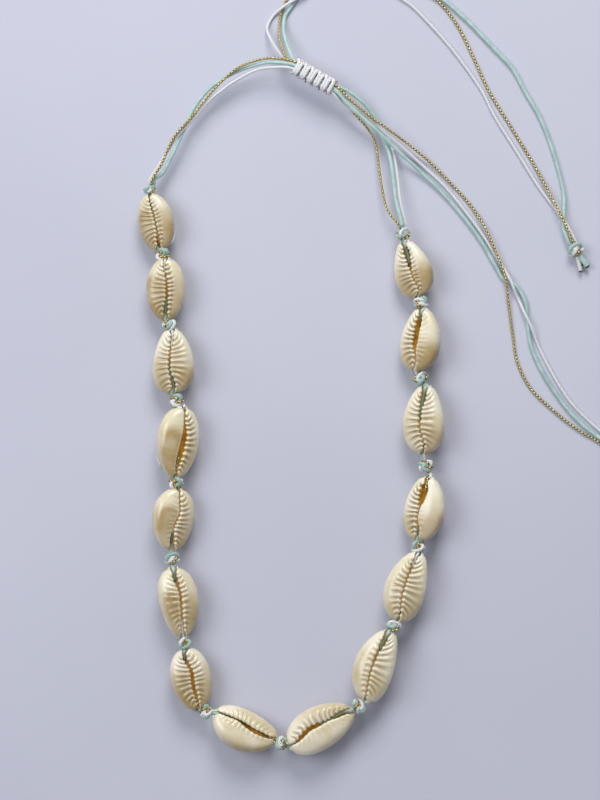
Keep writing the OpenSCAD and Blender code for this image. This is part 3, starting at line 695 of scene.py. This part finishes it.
shellColumns = ("x1", "y1", "x2", "y2", "width", "roll", "slot10", "slot37", "slot63", "slot90",
                "skew", "bow")
shellRows = [
    (-41.9, 63.1, -39.2, 46.8, 10.8, -12, -0.9, -0.4, -0.2, -0.2, 0.04, 0.25),
    (-37.6, 43.7, -37.6, 25.7, 11.6, 0, -0.4, 0.4, 0.5, 0.0, -0.02, 0.0),
    (-35.4, 22.4, -35.7, 3.6, 12.6, -8, -0.1, -0.8, -0.9, 0.7, 0.21, 0.5),
    (-32.9, -0.9, -35.2, -21.3, 12.9, 20, 1.6, 2.4, 1.8, 0.9, -0.1, -0.35),
    (-34.5, -25.2, -36.3, -43.2, 12.6, 20, 1.6, 2.3, 0.8, 0.7, -0.11, -0.2),
    (-35.6, -49.0, -32.7, -69.1, 11.9, 12, 0.6, 1.7, 1.3, 0.7, -0.16, 0.4),
    (-31.9, -73.2, -28.3, -91.0, 12.2, 8, -0.5, 1.0, 0.6, 1.0, -0.06, 0.1),
    (-23.0, -93.1, -5.1, -100.8, 12.4, 22, 2.0, 2.2, 1.1, 0.8, -0.08, -1.1),
    (-0.4, -102.1, 18.0, -91.8, 13.1, 5, 0.1, 1.9, 1.4, 1.2, -0.12, 0.3),
    (29.7, -68.0, 22.8, -88.5, 12.2, -10, -1.0, -2.0, -2.1, -1.2, 0.14, -1.1),
    (38.2, -44.6, 32.1, -64.4, 12.5, -3, -0.7, -1.3, -1.3, -0.2, 0.2, -0.7),
    (41.9, -22.0, 38.6, -40.4, 12.5, -22, -1.5, -2.0, -2.4, -1.2, 0.12, 0.1),
    (40.7, 5.5, 39.7, -14.3, 12.6, -10, -0.9, -1.8, -1.8, 0.0, 0.21, -0.25),
    (40.1, 28.6, 37.7, 10.4, 12.2, -22, -1.3, -1.9, -2.0, -0.8, 0.19, 0.3),
    (34.5, 48.8, 38.3, 32.6, 11.7, -20, -0.8, -0.9, -0.8, 0.4, 0.25, 0.4),
]
shells = [dict(zip(shellColumns, row)) for row in shellRows]
firstRight = 9  # from this one on, the string comes in at the lower tip

# how far the ridges run to the margin on the left and right lip, how bold they are there; how tan,
# with painted shade, the left flank is, more beside its lip, the right flank, more towards the
# lower tip, which lies away from the light; the margin's callus (height, side); extra gape of the
# slot, its place and reach, and the gape that lets the strands in at the upper and lower tip
lookColumns = ("leftReach", "rightReach", "leftBold", "rightBold", "leftTanAndShade", "innerTan",
               "rightTanAndShade", "lowTanAndShade", "callus", "callusSide", "gape", "gapeAt", "gapeReach",
               "upperGape", "lowerGape")
lookRows = [
    (0.60, 0.20, 0.8, 0.8, 0.70, 0.95, 0.75, 0.3, 0.00, 1, 0.06, 0.0, 0.5, 0.0, 0.40),
    (0.52, 0.16, 0.8, 1.1, 0.90, 0.7, 0.50, 0.3, 0.00, 1, 0.22, -0.1, 0.4, 0.1, 0.50),
    (0.62, 0.60, 0.8, 0.8, 0.20, 0.2, 0.30, 0.6, 0.08, 1, 0.12, -0.1, 0.3, 0.25, 0.45),
    (0.12, 0.40, 0.15, 1.0, 0.35, 0.9, 0.05, 0.2, 0.00, -1, 0.66, -0.1, 0.55, 0.0, 0.20),
    (0.20, 0.42, 0.3, 0.9, 0.4, 1.2, 0.55, 0.1, 0.25, -1, 0.12, -0.2, 0.3, 0.0, 0.55),
    (0.46, 0.22, 0.5, 0.8, 0.2, 0.8, 0.35, 0.35, 0.25, -1, 0.16, 0.0, 0.5, 0.45, 0.30),
    (0.58, 0.46, 0.8, 0.8, 0.5, 0.2, 0.45, 0.35, 0.15, -1, 0.34, -0.1, 0.55, 0.40, 0.15),
    (0.10, 0.44, 0.3, 0.35, 0.9, -0.9, 0.05, 0.0, 0.12, -1, 0.42, -0.3, 0.5, 0.1, 0.10),
    (0.40, 0.46, 0.25, 0.8, 0.65, -0.8, 0.35, 0.0, 0.12, -1, 0.38, 0.3, 0.45, 0.0, 0.60),
    (0.18, 0.66, 0.6, 0.8, 0.2, 0.0, 0.0, 0.15, 0.00, 1, 0.14, 0.2, 0.15, 0.60, 0.0),
    (0.38, 0.66, 0.8, 0.9, 0.0, 0.1, 0.0, 0.55, 0.00, 1, 0.02, 0.4, 0.4, 0.25, 0.0),
    (0.46, 0.10, 1.0, 0.15, 0.0, -0.3, 0.0, 1.1, 0.08, 1, 0.78, 0.45, 0.32, 0.30, 0.30),
    (0.52, 0.56, 0.9, 0.8, 0.0, -0.2, 0.0, 0.75, 0.00, 1, 0.16, 0.35, 0.35, 0.58, 0.0),
    (0.52, 0.36, 1.0, 0.35, 0.0, -0.2, 0.1, 1.1, 0.22, 1, 0.60, 0.15, 0.48, 0.38, 0.12),
    (0.50, 0.14, 0.9, 0.7, 0.05, 0.1, 0.4, 1.0, 0.12, 1, 0.42, 0.4, 0.35, 0.45, 0.0),
]
looks = [dict(zip(lookColumns, row)) for row in lookRows]

shellShape = {  # a zone is where a rise starts and over what it runs
    "heightShare": 0.48, "domeShare": 0.62,  # of the length, and of the height
    "domeTaper": 0.8, "baseTaper": 0.6, "roundness": 2.3, "bluntness": 0.94,
    "tipRound": 0.2, "tipZone": (0.94, 0.06), "closing": (25, 50, 72), "tipReach": 0.6,  # degrees
    "wall": 1.2, "tipWall": 0.55, "lip": 1.6, "lipTip": (0.32, 0.68), "lipFull": 0.93,
    "slot": 0.32, "slotTaper": (0.75, 0.25), "slotLed": 8,  # its width at the tips, and more
    "slotSamples": 201, "slotEven": 16,  # samples of its line, and how many are evened out
    "notch": 0.45, "notchZone": (0.86, 0.14), "gapeZone": (0.3, 0.4), "openGape": 0.3,
    "inside": (0.4, 0.3),  # where the lip's roll turns amber
    "rows": 150, "rollSteps": 8, "baseSteps": 22, "domeSteps": 24, "seed": 40,
}

for s in shells:
    s["length"] = math.hypot(s["x1"] - s["x2"], s["y1"] - s["y2"])
    s["height"] = shellShape["heightShare"] * s["length"]
    s["middle"] = shellShape["domeShare"] * s["height"]  # level of the greatest width


def fullness(s, t):
    # outline: an ellipse with blunt ends, fuller towards one end by the shell's skew
    return np.sqrt(1 - (shellShape["bluntness"] * (t + s["skew"] * (1 - t * t)))**2)


def baseHeight(s, t):
    # over the level of the greatest width: what is left of the height, times fullness to a power
    return (s["height"] - s["middle"]) * fullness(s, t)**shellShape["baseTaper"]


def arch(x, halfWidth):
    # the base across: the root of 1 minus the share of the half width, both to the roundness
    share = np.clip(np.abs(x) / halfWidth, 0, 1)
    return np.clip(1 - share**shellShape["roundness"], 0, 1)**(1 / shellShape["roundness"])


def openness(look, t):
    # the extra gape, at its place: 1 there, 0 beyond its reach
    return hill(t, look["gapeAt"], look["gapeReach"], 4)


def slotPlace(s, t):
    # as seen from above, beside the long axis, turned back by the roll and led to both tips
    roll = math.radians(s["roll"])
    fine = np.linspace(1, -1, shellShape["slotSamples"])
    stations = {"slot10": 0.1, "slot37": 0.37, "slot63": 0.63, "slot90": 0.9}
    seen = np.interp((1 - fine) / 2, list(stations.values()), [s[name] for name in stations])
    near = shellShape["slotEven"]
    window = np.hanning(2 * near + 1) / near
    seen = np.convolve(np.pad(seen, near, mode="edge"), window, mode="valid")
    seen = np.interp(-t, -fine, seen)
    risen = s["middle"] + baseHeight(s, t) - s["height"] / 2
    return (1 - np.abs(t)**shellShape["slotLed"]) / math.cos(roll) * (seen - risen * math.sin(roll))


def laid(s, own, lift=0.0):
    # own x, y, z in millimetres, rolled about the long axis and laid on the table
    roll = math.radians(s["roll"])
    ux, uy = (s["x1"] - s["x2"]) / s["length"], (s["y1"] - s["y2"]) / s["length"]
    x = own[..., 0] * math.cos(roll) + (own[..., 2] - s["height"] / 2) * math.sin(roll)
    z = -own[..., 0] * math.sin(roll) + (own[..., 2] - s["height"] / 2) * math.cos(roll)
    cx, cy, y = (s["x1"] + s["x2"]) / 2, (s["y1"] + s["y2"]) / 2, own[..., 1]
    return np.stack([cx + y * ux + x * uy, cy + y * uy - x * ux, z + lift], axis=-1)


def shellProfile(s, look, t):
    # the wall's cross section at each t, in two lists of points from the right lip round the dome
    # to the left lip: outside (lip roll, base, dome, base, lip roll) and inside; place is 0 at the
    # lip, 1 at the margin and 2 at the bottom
    row = t[:, None]
    f = fullness(s, row)
    shift = s["bow"] * (1 - row**2)
    tipFrom, tipOver = shellShape["tipZone"]
    blunt = 1 - shellShape["tipRound"] * np.clip((np.abs(row) - tipFrom) / tipOver, 0, 1)**2
    halfWidth = s["width"] / 2 * f * blunt
    domeDepth = s["middle"] * f**shellShape["domeTaper"] * blunt
    baseTop = baseHeight(s, row) * blunt
    wall = shellShape["wall"] * (shellShape["tipWall"] + (1 - shellShape["tipWall"]) * f)
    tipFullness = fullness(s, 1.0)
    lipLeast, lipMore = shellShape["lipTip"]
    grown = lipMore * (f - tipFullness) / (shellShape["lipFull"] - tipFullness)
    lip = shellShape["lip"] * np.minimum(1, lipLeast + grown)
    slotX = slotPlace(s, t)[:, None] - shift
    gape = look["gape"] * openness(look, row) \
        + (look["upperGape"] * ramp(row, *shellShape["gapeZone"])
           + look["lowerGape"] * ramp(-row, *shellShape["gapeZone"]))
    notch = shellShape["notch"] * ramp(np.abs(row), *shellShape["notchZone"])
    slotLeast, slotMore = shellShape["slotTaper"]
    slotHalf = shellShape["slot"] / 2 * (slotLeast + slotMore * f) + gape + notch
    r = lip / 2
    rollSteps, baseSteps = shellShape["rollSteps"], shellShape["baseSteps"]
    roll = np.linspace(270, 90, rollSteps + 1)[None, :-1] * np.pi / 180  # under the lip to on top
    u = np.linspace(0, 1, baseSteps + 1)[None, :]
    v = np.linspace(0, 1, rollSteps + baseSteps + 1)[None, :]
    w = np.linspace(0, 1, shellShape["domeSteps"] + 1)[None, 1:-1]
    a = -np.pi * w
    innerHalf = halfWidth - wall
    halves = []
    for side in (1, -1):
        start = side * slotX + slotHalf + r
        top = baseTop * arch(start, halfWidth)
        rollX, rollZ = start + r * np.cos(roll), top - r + r * np.sin(roll)
        baseX = start + (halfWidth - start) * np.sin(np.pi / 2 * u)
        baseZ = baseTop * arch(baseX, halfWidth)
        inX = start + (innerHalf - start) * np.sin(np.pi / 2 * v)
        arched = (baseTop - lip) * arch(inX, innerHalf)
        inZ = arched + (top - 2 * r - arched[:, :1]) * (1 - v)**2
        place = np.hstack([np.linspace(-1, 0, rollSteps + 1)[None, :-1], u]) + 0 * start
        outX, outZ = side * np.hstack([rollX, baseX]), np.hstack([rollZ, baseZ])
        out, within = np.stack([outX, outZ], axis=-1), np.stack([side * inX, inZ], axis=-1)
        halves.append((out, within, place))
    (rightOut, rightIn, rightPlace), (leftOut, leftIn, leftPlace) = halves
    dome = np.stack([halfWidth * np.cos(a), domeDepth * np.sin(a)], axis=-1)
    innerDome = np.stack([innerHalf * np.cos(a), (domeDepth - wall) * np.sin(a)], axis=-1)
    outer = np.concatenate([rightOut, dome, leftOut[:, ::-1]], axis=1)
    inner = np.concatenate([rightIn, innerDome, leftIn[:, ::-1]], axis=1)
    place = np.hstack([rightPlace, 1 + 2 * w + 0 * halfWidth, 4 - leftPlace[:, ::-1]])
    outer[..., 0] += shift
    inner[..., 0] += shift
    return outer, inner, place, wall


teeth = {  # what lies across the shell is measured in place, what lies along it in t
    "number": 13.6, "height": 0.46, "crest": 1.1, "sharp": 1.4, "leftOffset": 0.4,
    "fan": 0.95, "fanPower": 1.2,  # how far they spread from the lip to the margin
    "wobble": ((0.13, 5.0), (0.08, 11.0)), "anyTurn": 6.3,  # how much of a tooth, and how fast
    "uneven": 0.16, "mix": (12.9, 78.2), "bold": (0.85, 0.15),  # from tooth to tooth
    "inward": (-0.9, 0.3), "outward": (0.05, 1.15), "tipReach": 0.3,
    "tipZone": (0.78, 0.16), "off": 0.02,  # where the row of teeth ends, a little off the middle
    "lipDip": 0.4, "lipDipAt": (-0.25, 0.3), "grooveSharp": 1.4,
    "furrow": 0.22, "furrowAt": (0.0, 0.4), "furrowZone": (0.7, 0.25),
    "callusAt": (1.12, 0.10), "callusZone": (0.5, 0.35),
    "swell": 0.07, "swellWaves": (3.1, 1.7), "swellZone": (0.3, 0.4),
}
# tan and brown, partly painted shade: stronger towards the lower tip, on the flanks and under the
# margin
tints = {
    "lower": (-0.25, 0.9),  # towards the lower tip, away from the light: painted shade as well as tan and brown
    "flank": (0.3, 0.7), "flankUp": (-0.75, 0.7), "flankZone": (-0.35, 0.5),
    "besideRight": 0.22, "besideLeft": 0.3, "besideAt": (0.25, 0.35), "besideUp": (-0.6, 0.5),
    "low": 0.15, "lowLeft": 0.45, "lowZone": (-0.4, 0.5),
    "brownAndShade": 0.8, "brownLeft": 0.3, "brownZone": (0.55, 0.6),
    "bottom": 0.35, "bottomZone": (0.9, 0.5),  # brown, partly painted shade, from the margin down
}


def shellDetail(look, t, place, seed):
    # height added along the outward normal in millimetres, and the groove, tan and brown masks, the
    # tan
    # and brown being partly painted shade on the flanks, towards the lower tip and under the
    # margin:
    # ridges that cross the lips (a cosine of the phase, sharpened), spread like a fan towards the
    # tips, a furrow beside the slot, a callus on one margin, and slow swells
    rng = np.random.default_rng(seed)
    right = place < 2
    c = np.where(right, place, 4 - place)
    along = t[:, None]
    reach = np.where(right, look["rightReach"], look["leftReach"])
    bold = np.where(right, look["rightBold"], look["leftBold"])
    wobble = sum(much * np.sin(waves * along + rng.uniform(0, teeth["anyTurn"]))
                 for much, waves in teeth["wobble"])
    fan = 1 + teeth["fan"] * np.clip(c, 0, 1)**teeth["fanPower"]
    phase = teeth["number"] * (along / 2) / fan + wobble + np.where(right, 0.0, teeth["leftOffset"])
    phase = phase + rng.uniform(0, 1)
    wave = 0.5 + 0.5 * np.cos(2 * np.pi * phase)
    ridge = ramp(wave * teeth["crest"])**teeth["sharp"]
    number = np.floor(phase + 0.5)
    mixed = teeth["mix"][0] * number + teeth["mix"][1] * right + seed
    uneven = 1 + teeth["uneven"] * np.sin(mixed)
    fadeFrom, fadeOver = teeth["outward"]
    fadeOver = fadeOver * (reach * (1 - teeth["tipReach"] * along**2) * uneven)
    fade = ramp(c, *teeth["inward"]) * np.clip(1 - ramp(c, fadeFrom, fadeOver), 0, 1)
    ends = 1 - ramp(np.abs(along + teeth["off"]), *teeth["tipZone"])
    strength = fade * ends * bold * (teeth["bold"][0] + teeth["bold"][1] * uneven)
    dip = 1 - teeth["lipDip"] * hill(c, *teeth["lipDipAt"])
    height = teeth["height"] * strength * (ridge - 0.5) * dip
    onSide = np.where(right, 1, -1) == look["callusSide"]
    callus = look["callus"] * hill(c, *teeth["callusAt"]) * onSide \
        * (1 - ramp(np.abs(along), *teeth["callusZone"]))
    furrow = -teeth["furrow"] * hill(c, *teeth["furrowAt"]) \
        * (1 - ramp(np.abs(along), *teeth["furrowZone"]))
    wavesAlong, wavesAcross = teeth["swellWaves"]
    swell = teeth["swell"] * np.sin(wavesAlong * along + rng.uniform(0, teeth["anyTurn"])) \
        * np.sin(wavesAcross * place + rng.uniform(0, teeth["anyTurn"])) \
        * ramp(c, *teeth["swellZone"])
    # darker in the grooves between the teeth: partly tan, partly painted shade
    groove = np.clip(strength, 0, 1)**teeth["grooveSharp"] * (1 - ridge)
    lower = ramp(-along, *tints["lower"])
    flank = np.where(right, look["rightTanAndShade"], look["leftTanAndShade"]) \
        * (tints["flank"][0] + tints["flank"][1] * ramp(-along, *tints["flankUp"]))
    beside = np.where(right, tints["besideRight"], tints["besideLeft"] + look["innerTan"]) \
        * hill(c, *tints["besideAt"]) * ramp(-along, *tints["besideUp"])
    low = (look["lowTanAndShade"] + tints["low"]) * np.where(right, 1.0, tints["lowLeft"]) * lower
    tanAndShade = flank * ramp(c, *tints["flankZone"]) + beside + low * ramp(c, *tints["lowZone"])
    brownAndShade = tints["brownAndShade"] * ramp(c, *tints["brownZone"]) * lower * look["lowTanAndShade"] \
        * np.where(right, 1.0, tints["brownLeft"]) + tints["bottom"] * ramp(c, *tints["bottomZone"])
    return height + callus + swell + furrow, {"groove": groove, "tanAndShade": tanAndShade, "brownAndShade": brownAndShade}, c


def gridNormals(grid):
    # across the grid's two directions, with rings closed
    down = np.gradient(grid, axis=0)
    around = np.roll(grid, -1, axis=1) - np.roll(grid, 1, axis=1)
    return unit(np.cross(down, around) + 1e-12)


def shellGrid(s, look, seed):
    # rings round the wall's outside and back along every other point of its inside, one for each
    # t; at the tips they close on the middle of the wall by the cosine of the closing angles
    t = np.linspace(-1, 1, shellShape["rows"])
    outer, inner, place, wall = shellProfile(s, look, t)
    centre = (outer + inner) / 2
    count = outer.shape[1]
    ring = np.concatenate([outer, inner[:, -3:0:-2]], axis=1)
    ringMid = np.concatenate([centre, centre[:, -3:0:-2]], axis=1)
    total = ring.shape[1]
    detail, marks, c = shellDetail(look, t, place, seed)
    pad = np.zeros((len(t), total - count))
    marks = {key: np.hstack([np.clip(value, 0, 1), pad]) for key, value in marks.items()}
    marks["inside"] = np.hstack([ramp(-c, *shellShape["inside"]), pad + 1])
    openShare = look["gape"] / shellShape["openGape"] * openness(look, t)[:, None]
    marks["deep"] = marks["inside"] * (1 - np.clip(openShare, 0, 1))
    closing = np.radians(shellShape["closing"])

    def closedTip(end, way):
        shrunk = ringMid[end] + (ring[end] - ringMid[end]) * np.cos(closing)[:, None, None]
        beyond = wall[0, 0] * shellShape["tipReach"] * np.sin(closing)
        return shrunk, way * (s["length"] / 2 + beyond)

    def padded(mark):
        return np.pad(mark, ((len(closing), len(closing)), (0, 0)), mode="edge")

    lowerRings, lowerY = closedTip(0, -1)
    upperRings, upperY = closedTip(-1, 1)
    section = np.concatenate([lowerRings[::-1], ring, upperRings])
    y = np.concatenate([lowerY[::-1], t * s["length"] / 2, upperY])
    grid = np.stack([section[..., 0], np.broadcast_to(y[:, None], section.shape[:2]),
                     s["middle"] + section[..., 1]], axis=-1)
    normals = gridNormals(grid)
    bottom = np.argmin(np.abs(place[0] - 2))
    if normals[len(y) // 2, bottom, 2] > 0:
        normals = -normals
    grid = grid + padded(np.hstack([detail, pad]))[..., None] * normals
    # each tip's last ring is filled between its outside, two points at a time, and its inside
    within = [0] + [total - k for k in range(1, total - count + 1)] + [count - 1]
    lid = [list(dict.fromkeys([2 * k, 2 * k + 1, 2 * k + 2, within[k + 1], within[k]]))
           for k in range(total - count + 1)]
    last = (len(y) - 1) * total
    lids = lid + [[last + v for v in reversed(face)] for face in lid]
    return grid, {key: padded(value) for key, value in marks.items()}, lids, y


shellLifts = []
for i, s in enumerate(shells):
    grid, marks, lids, y = shellGrid(s, looks[i], shellShape["seed"] + i)
    placed = laid(s, grid)
    shellLifts.append(-placed[..., 2].min())
    placed[..., 2] += shellLifts[i]
    part = {"grid": placed * mm, "distance": y * mm, "material": 0, "ends": lids, "marks": marks}
    number = "_%02d" % (i + 1)
    makePiece("cowrie" + number, [part], [materials["shell"]], "shell" + number)
print("shells made:", len(shells))


# the three strands where they run through the shells: in the slot near a tip, then down into the
# hollow; slotRuns is the share of the length that each lies in the slot, from either tip

thread = {
    "seats": {"mint": (-0.45, -0.1), "white": (0.57, 0.33), "gold": (0.4, -0.7)},
    "dim": {"mint": 0.9, "white": 0.25, "gold": 0.15},  # share of the painted slot shade
    "sink": 1.6, "tipSink": 0.25, "tipFullness": 0.6,  # how far down in the slot, less at the tips
    "beside": 1.9, "below": 1.2,  # how far it lies out of the slot's sight
    "blend": 0.3, "reach": 1.02, "lowest": 0.55, "samples": 61, "step": 0.28,
    "dimZone": (0.98, 0.2),  # clear at the tips, and fully dim so far in
    "flankUnder": (8, 62, 0.6),  # degrees under the level: least, more, and over what it grows
    "flankOff": (0.35, 0.5), "flankEnd": 0.2,  # off the shell's side and underside, from its tips
}
slotRuns = [
    {},
    {"white": (0.28, 0.0), "mint": (0.0, 0.36)},
    {"white": (0.32, 0.0), "mint": (0.0, 0.46)},
    {"gold": (0.0, 0.34)},
    {"white": (0.0, 0.45), "mint": (0.0, 0.34), "gold": (0.0, 0.3)},
    {"mint": (0.22, 0.0), "white": (0.0, 0.26)},
    {"mint": (0.20, 0.0), "gold": (0.0, 0.18)},
    {"mint": (0.10, 0.0), "gold": (0.0, 0.10)},
    {"mint": (0.0, 0.52)},
    {"mint": (0.32, 0.0)},
    {"white": (0.24, 0.0)},
    {"gold": (0.24, 0.0), "mint": (0.0, 0.24)},
    {"mint": (0.52, 0.0)},
    {"mint": (0.2, 0.0), "white": (0.0, 0.2)},
    {"mint": (0.42, 0.0)},
]
flankRuns = {0: {"white": (1, -0.76)}, 3: {"white": (-1, -0.7)}}  # side, and t where seen


def threadPath(i, colour):
    # from the seat in the canal, lifted into the slot over the run from either tip
    s = shells[i]
    t = np.linspace(1, -1, thread["samples"])
    lifted = np.zeros_like(t)
    for way, run in zip((1, -1), slotRuns[i].get(colour, (0.0, 0.0))):
        if run > 0:
            lifted = np.maximum(lifted, ramp((way * t - (1 - 2 * run)) / thread["blend"] + 0.5))
    slotX = slotPlace(s, t)
    f = fullness(s, t)
    sink = thread["sink"] - thread["tipSink"] * (f < thread["tipFullness"])
    hidden = (1 - t**2) * (1 - lifted)
    seatX, seatZ = thread["seats"][colour]
    slotSide = np.sign(slotX[thread["samples"] // 2])
    x = seatX * (1 - lifted) + slotX * lifted - thread["beside"] * hidden * slotSide
    z = seatZ * (1 - lifted) + (baseHeight(s, t) - sink) * lifted - thread["below"] * hidden
    if colour in flankRuns.get(i, {}):
        # outside the shell: round the dome at an angle below the level, least where it shows
        side, seenAt = flankRuns[i][colour]
        least, more, over = thread["flankUnder"]
        offSide, offBelow = thread["flankOff"]
        below = np.radians(least + more * ramp(np.abs(t - seenAt), 0, over))
        away = ramp(1 - np.abs(t), 0, thread["flankEnd"])
        x = x * (1 - away) + side * (s["width"] / 2 * f + offSide) * np.cos(below) * away
        depth = s["middle"] * f**shellShape["domeTaper"] + offBelow
        z = z * (1 - away) - depth * np.sin(below) * away
    own = np.stack([x, t * s["length"] / 2 * thread["reach"], s["middle"] + z], axis=-1)
    path = laid(s, own, shellLifts[i])
    path[:, 2] = np.maximum(path[:, 2], thread["lowest"])
    return path


threadPaths = {c: [threadPath(i, c) for i in range(len(shells))] for c in strands}
for colour, paths in threadPaths.items():
    dimEnd, dimOver = thread["dimZone"]
    fromEnd = dimEnd - np.abs(np.linspace(1, -1, thread["samples"]))
    dim = ramp(fromEnd, 0, dimOver) * thread["dim"][colour]
    shade = (np.linspace(0, 1, thread["samples"]), dim)
    step = max(thread["step"], strands[colour]["step"])
    parts = [strandPart(colour, path * mm, step=step, shade=shade) for path in paths]
    name = "thread_" + colour
    makePiece(name + "_run", parts, strandMaterials, name)
print("threads made")


# knots between the shells: turn is each one's turn about the string, phase which strand lies on top

knotColumns = ("hand", "turn", "phase", "size", "squash")
knotRows = [
    (1, 75.0, 10.0, 0.84, 0.6),
    (-1, 75.0, 20.0, 1.0, 1.0),
    (1, 100.0, 100.0, 1.0, 1.0),
    (-1, 80.0, 60.0, 1.0, 1.05),
    (-1, 95.0, 0.0, 1.0, 1.0),
    (1, 75.0, 0.0, 1.0, 1.0),
    (1, 110.0, 200.0, 0.97, 1.0),
    (-1, 90.0, 90.0, 0.95, 0.95),
    (1, 80.0, 300.0, 0.95, 0.95),
    (-1, 70.0, 120.0, 1.0, 1.0),
    (1, 105.0, 60.0, 1.0, 1.0),
    (1, 85.0, 240.0, 0.97, 1.0),
    (-1, 100.0, 330.0, 1.0, 1.0),
    (1, 95.0, 30.0, 1.0, 1.0),
    (-1, 80.0, 140.0, 1.0, 1.0),
    (1, 70.0, 80.0, 0.97, 1.0),
]


def tipPoint(i, end, beyond=0.0):
    # on the long axis at the upper (end 1) or lower (end -1) tip, or so many millimetres beyond it
    s = shells[i]
    own = np.array([0.0, end * (s["length"] / 2 + beyond), s["middle"]])
    return laid(s, own, shellLifts[i]) * mm


def threadEnds(i, end):
    return {c: paths[i][0 if end > 0 else -1] * mm for c, paths in threadPaths.items()}


def cordEnds(side):
    return {c: cordPieces[side + "_" + c][1][0] for c in strands}


knotGap = knotShape["gap"]
for k, row in enumerate(knotRows):
    if k == 0:
        start, end = tipPoint(0, 1, knotGap + knotShape["firstLength"]), tipPoint(0, 1, -knotGap)
        before, after = cordEnds("left"), threadEnds(0, 1)
    elif k == len(shells):
        start, end = tipPoint(k - 1, 1), tipPoint(k - 1, 1, 2 * knotGap + knotShape["length"])
        before, after = threadEnds(k - 1, 1), cordEnds("right")
    else:
        leaveEnd = -1 if k - 1 < firstRight else 1
        enterEnd = 1 if k < firstRight else -1
        start, end = tipPoint(k - 1, leaveEnd), tipPoint(k, enterEnd)
        before, after = threadEnds(k - 1, leaveEnd), threadEnds(k, enterEnd)
    parts = knotParts(start, end, before, after, dict(zip(knotColumns, row)))
    name = "knot_%02d" % (k + 1)
    makePiece(name + "_tied", parts, strandMaterials, name)
print("knots made:", len(knotRows))


# slider: one white strand lies over the cords and one under, hooked at the sides in square knots

slider = {
    "middle": (6.8, 98.35, 6.0), "turn": -30.0, "length": 13.4, "width": 5.3, "height": 4.2,
    "halfKnots": 11, "thick": 1.22, "plait": {"round": 4, "length": 0.9, "depth": 0.10},
    "sidePower": 0.7, "underSwing": 0.75,  # how square the swing is, and how far in the lower one
    "archPower": 0.45, "archOff": 0.12, "hook": 0.35, "hookPower": 6,  # dips at the sides
    "crowding": 0.14, "spacing": 0.97, "pairing": 0.2,  # along the slider
    "samples": 26, "sides": 12, "step": 0.22,
}


def sliderPath(over):
    # across = swing cos p, up = a flat arch |sin p| to a power, along = p times a half knot's pitch
    # and a little uneven; over is the strand on top, and the other is turned over below it
    pitch = slider["length"] / slider["halfKnots"]
    p = np.linspace(0, np.pi * slider["halfKnots"], slider["samples"] * slider["halfKnots"])
    c, r = np.cos(p), slider["thick"] / 2
    swing = slider["width"] / 2 - r * (1.0 if over else slider["underSwing"])
    across = swing * np.sign(c) * np.abs(c)**slider["sidePower"]
    rise = (slider["height"] / 2 - r + slider["archOff"]) * np.abs(np.sin(p))**slider["archPower"] \
        - slider["hook"] * np.abs(c)**slider["hookPower"]
    place = p / np.pi + slider["crowding"] * np.sin(2 * p) - slider["halfKnots"] / 2
    along = place * pitch * slider["spacing"] + slider["pairing"] * np.sin(p)
    if not over:
        rise, across = -rise, -across
    turn = math.radians(slider["turn"])
    axis = np.array([math.cos(turn), math.sin(turn), 0.0])
    own = np.array([axis, [-axis[1], axis[0], 0.0], [0.0, 0.0, 1.0]])
    points = np.array(slider["middle"]) + along[:, None] * own[0] + across[:, None] * own[1] \
        + rise[:, None] * own[2]
    return points * mm, axis


parts = []
for over in (True, False):
    path, axis = sliderPath(over)
    path, distance = evenly(path, slider["step"] * mm)
    radius = plaitRadius(distance, slider["sides"], slider["thick"] * mm, slider["plait"])
    grid = tubeGrid(path, radius, slider["sides"], axis)
    parts.append({"grid": grid, "distance": distance, "material": 0})
makePiece("slider_tied", parts, [materials["white"]], "slider")
print("slider made")
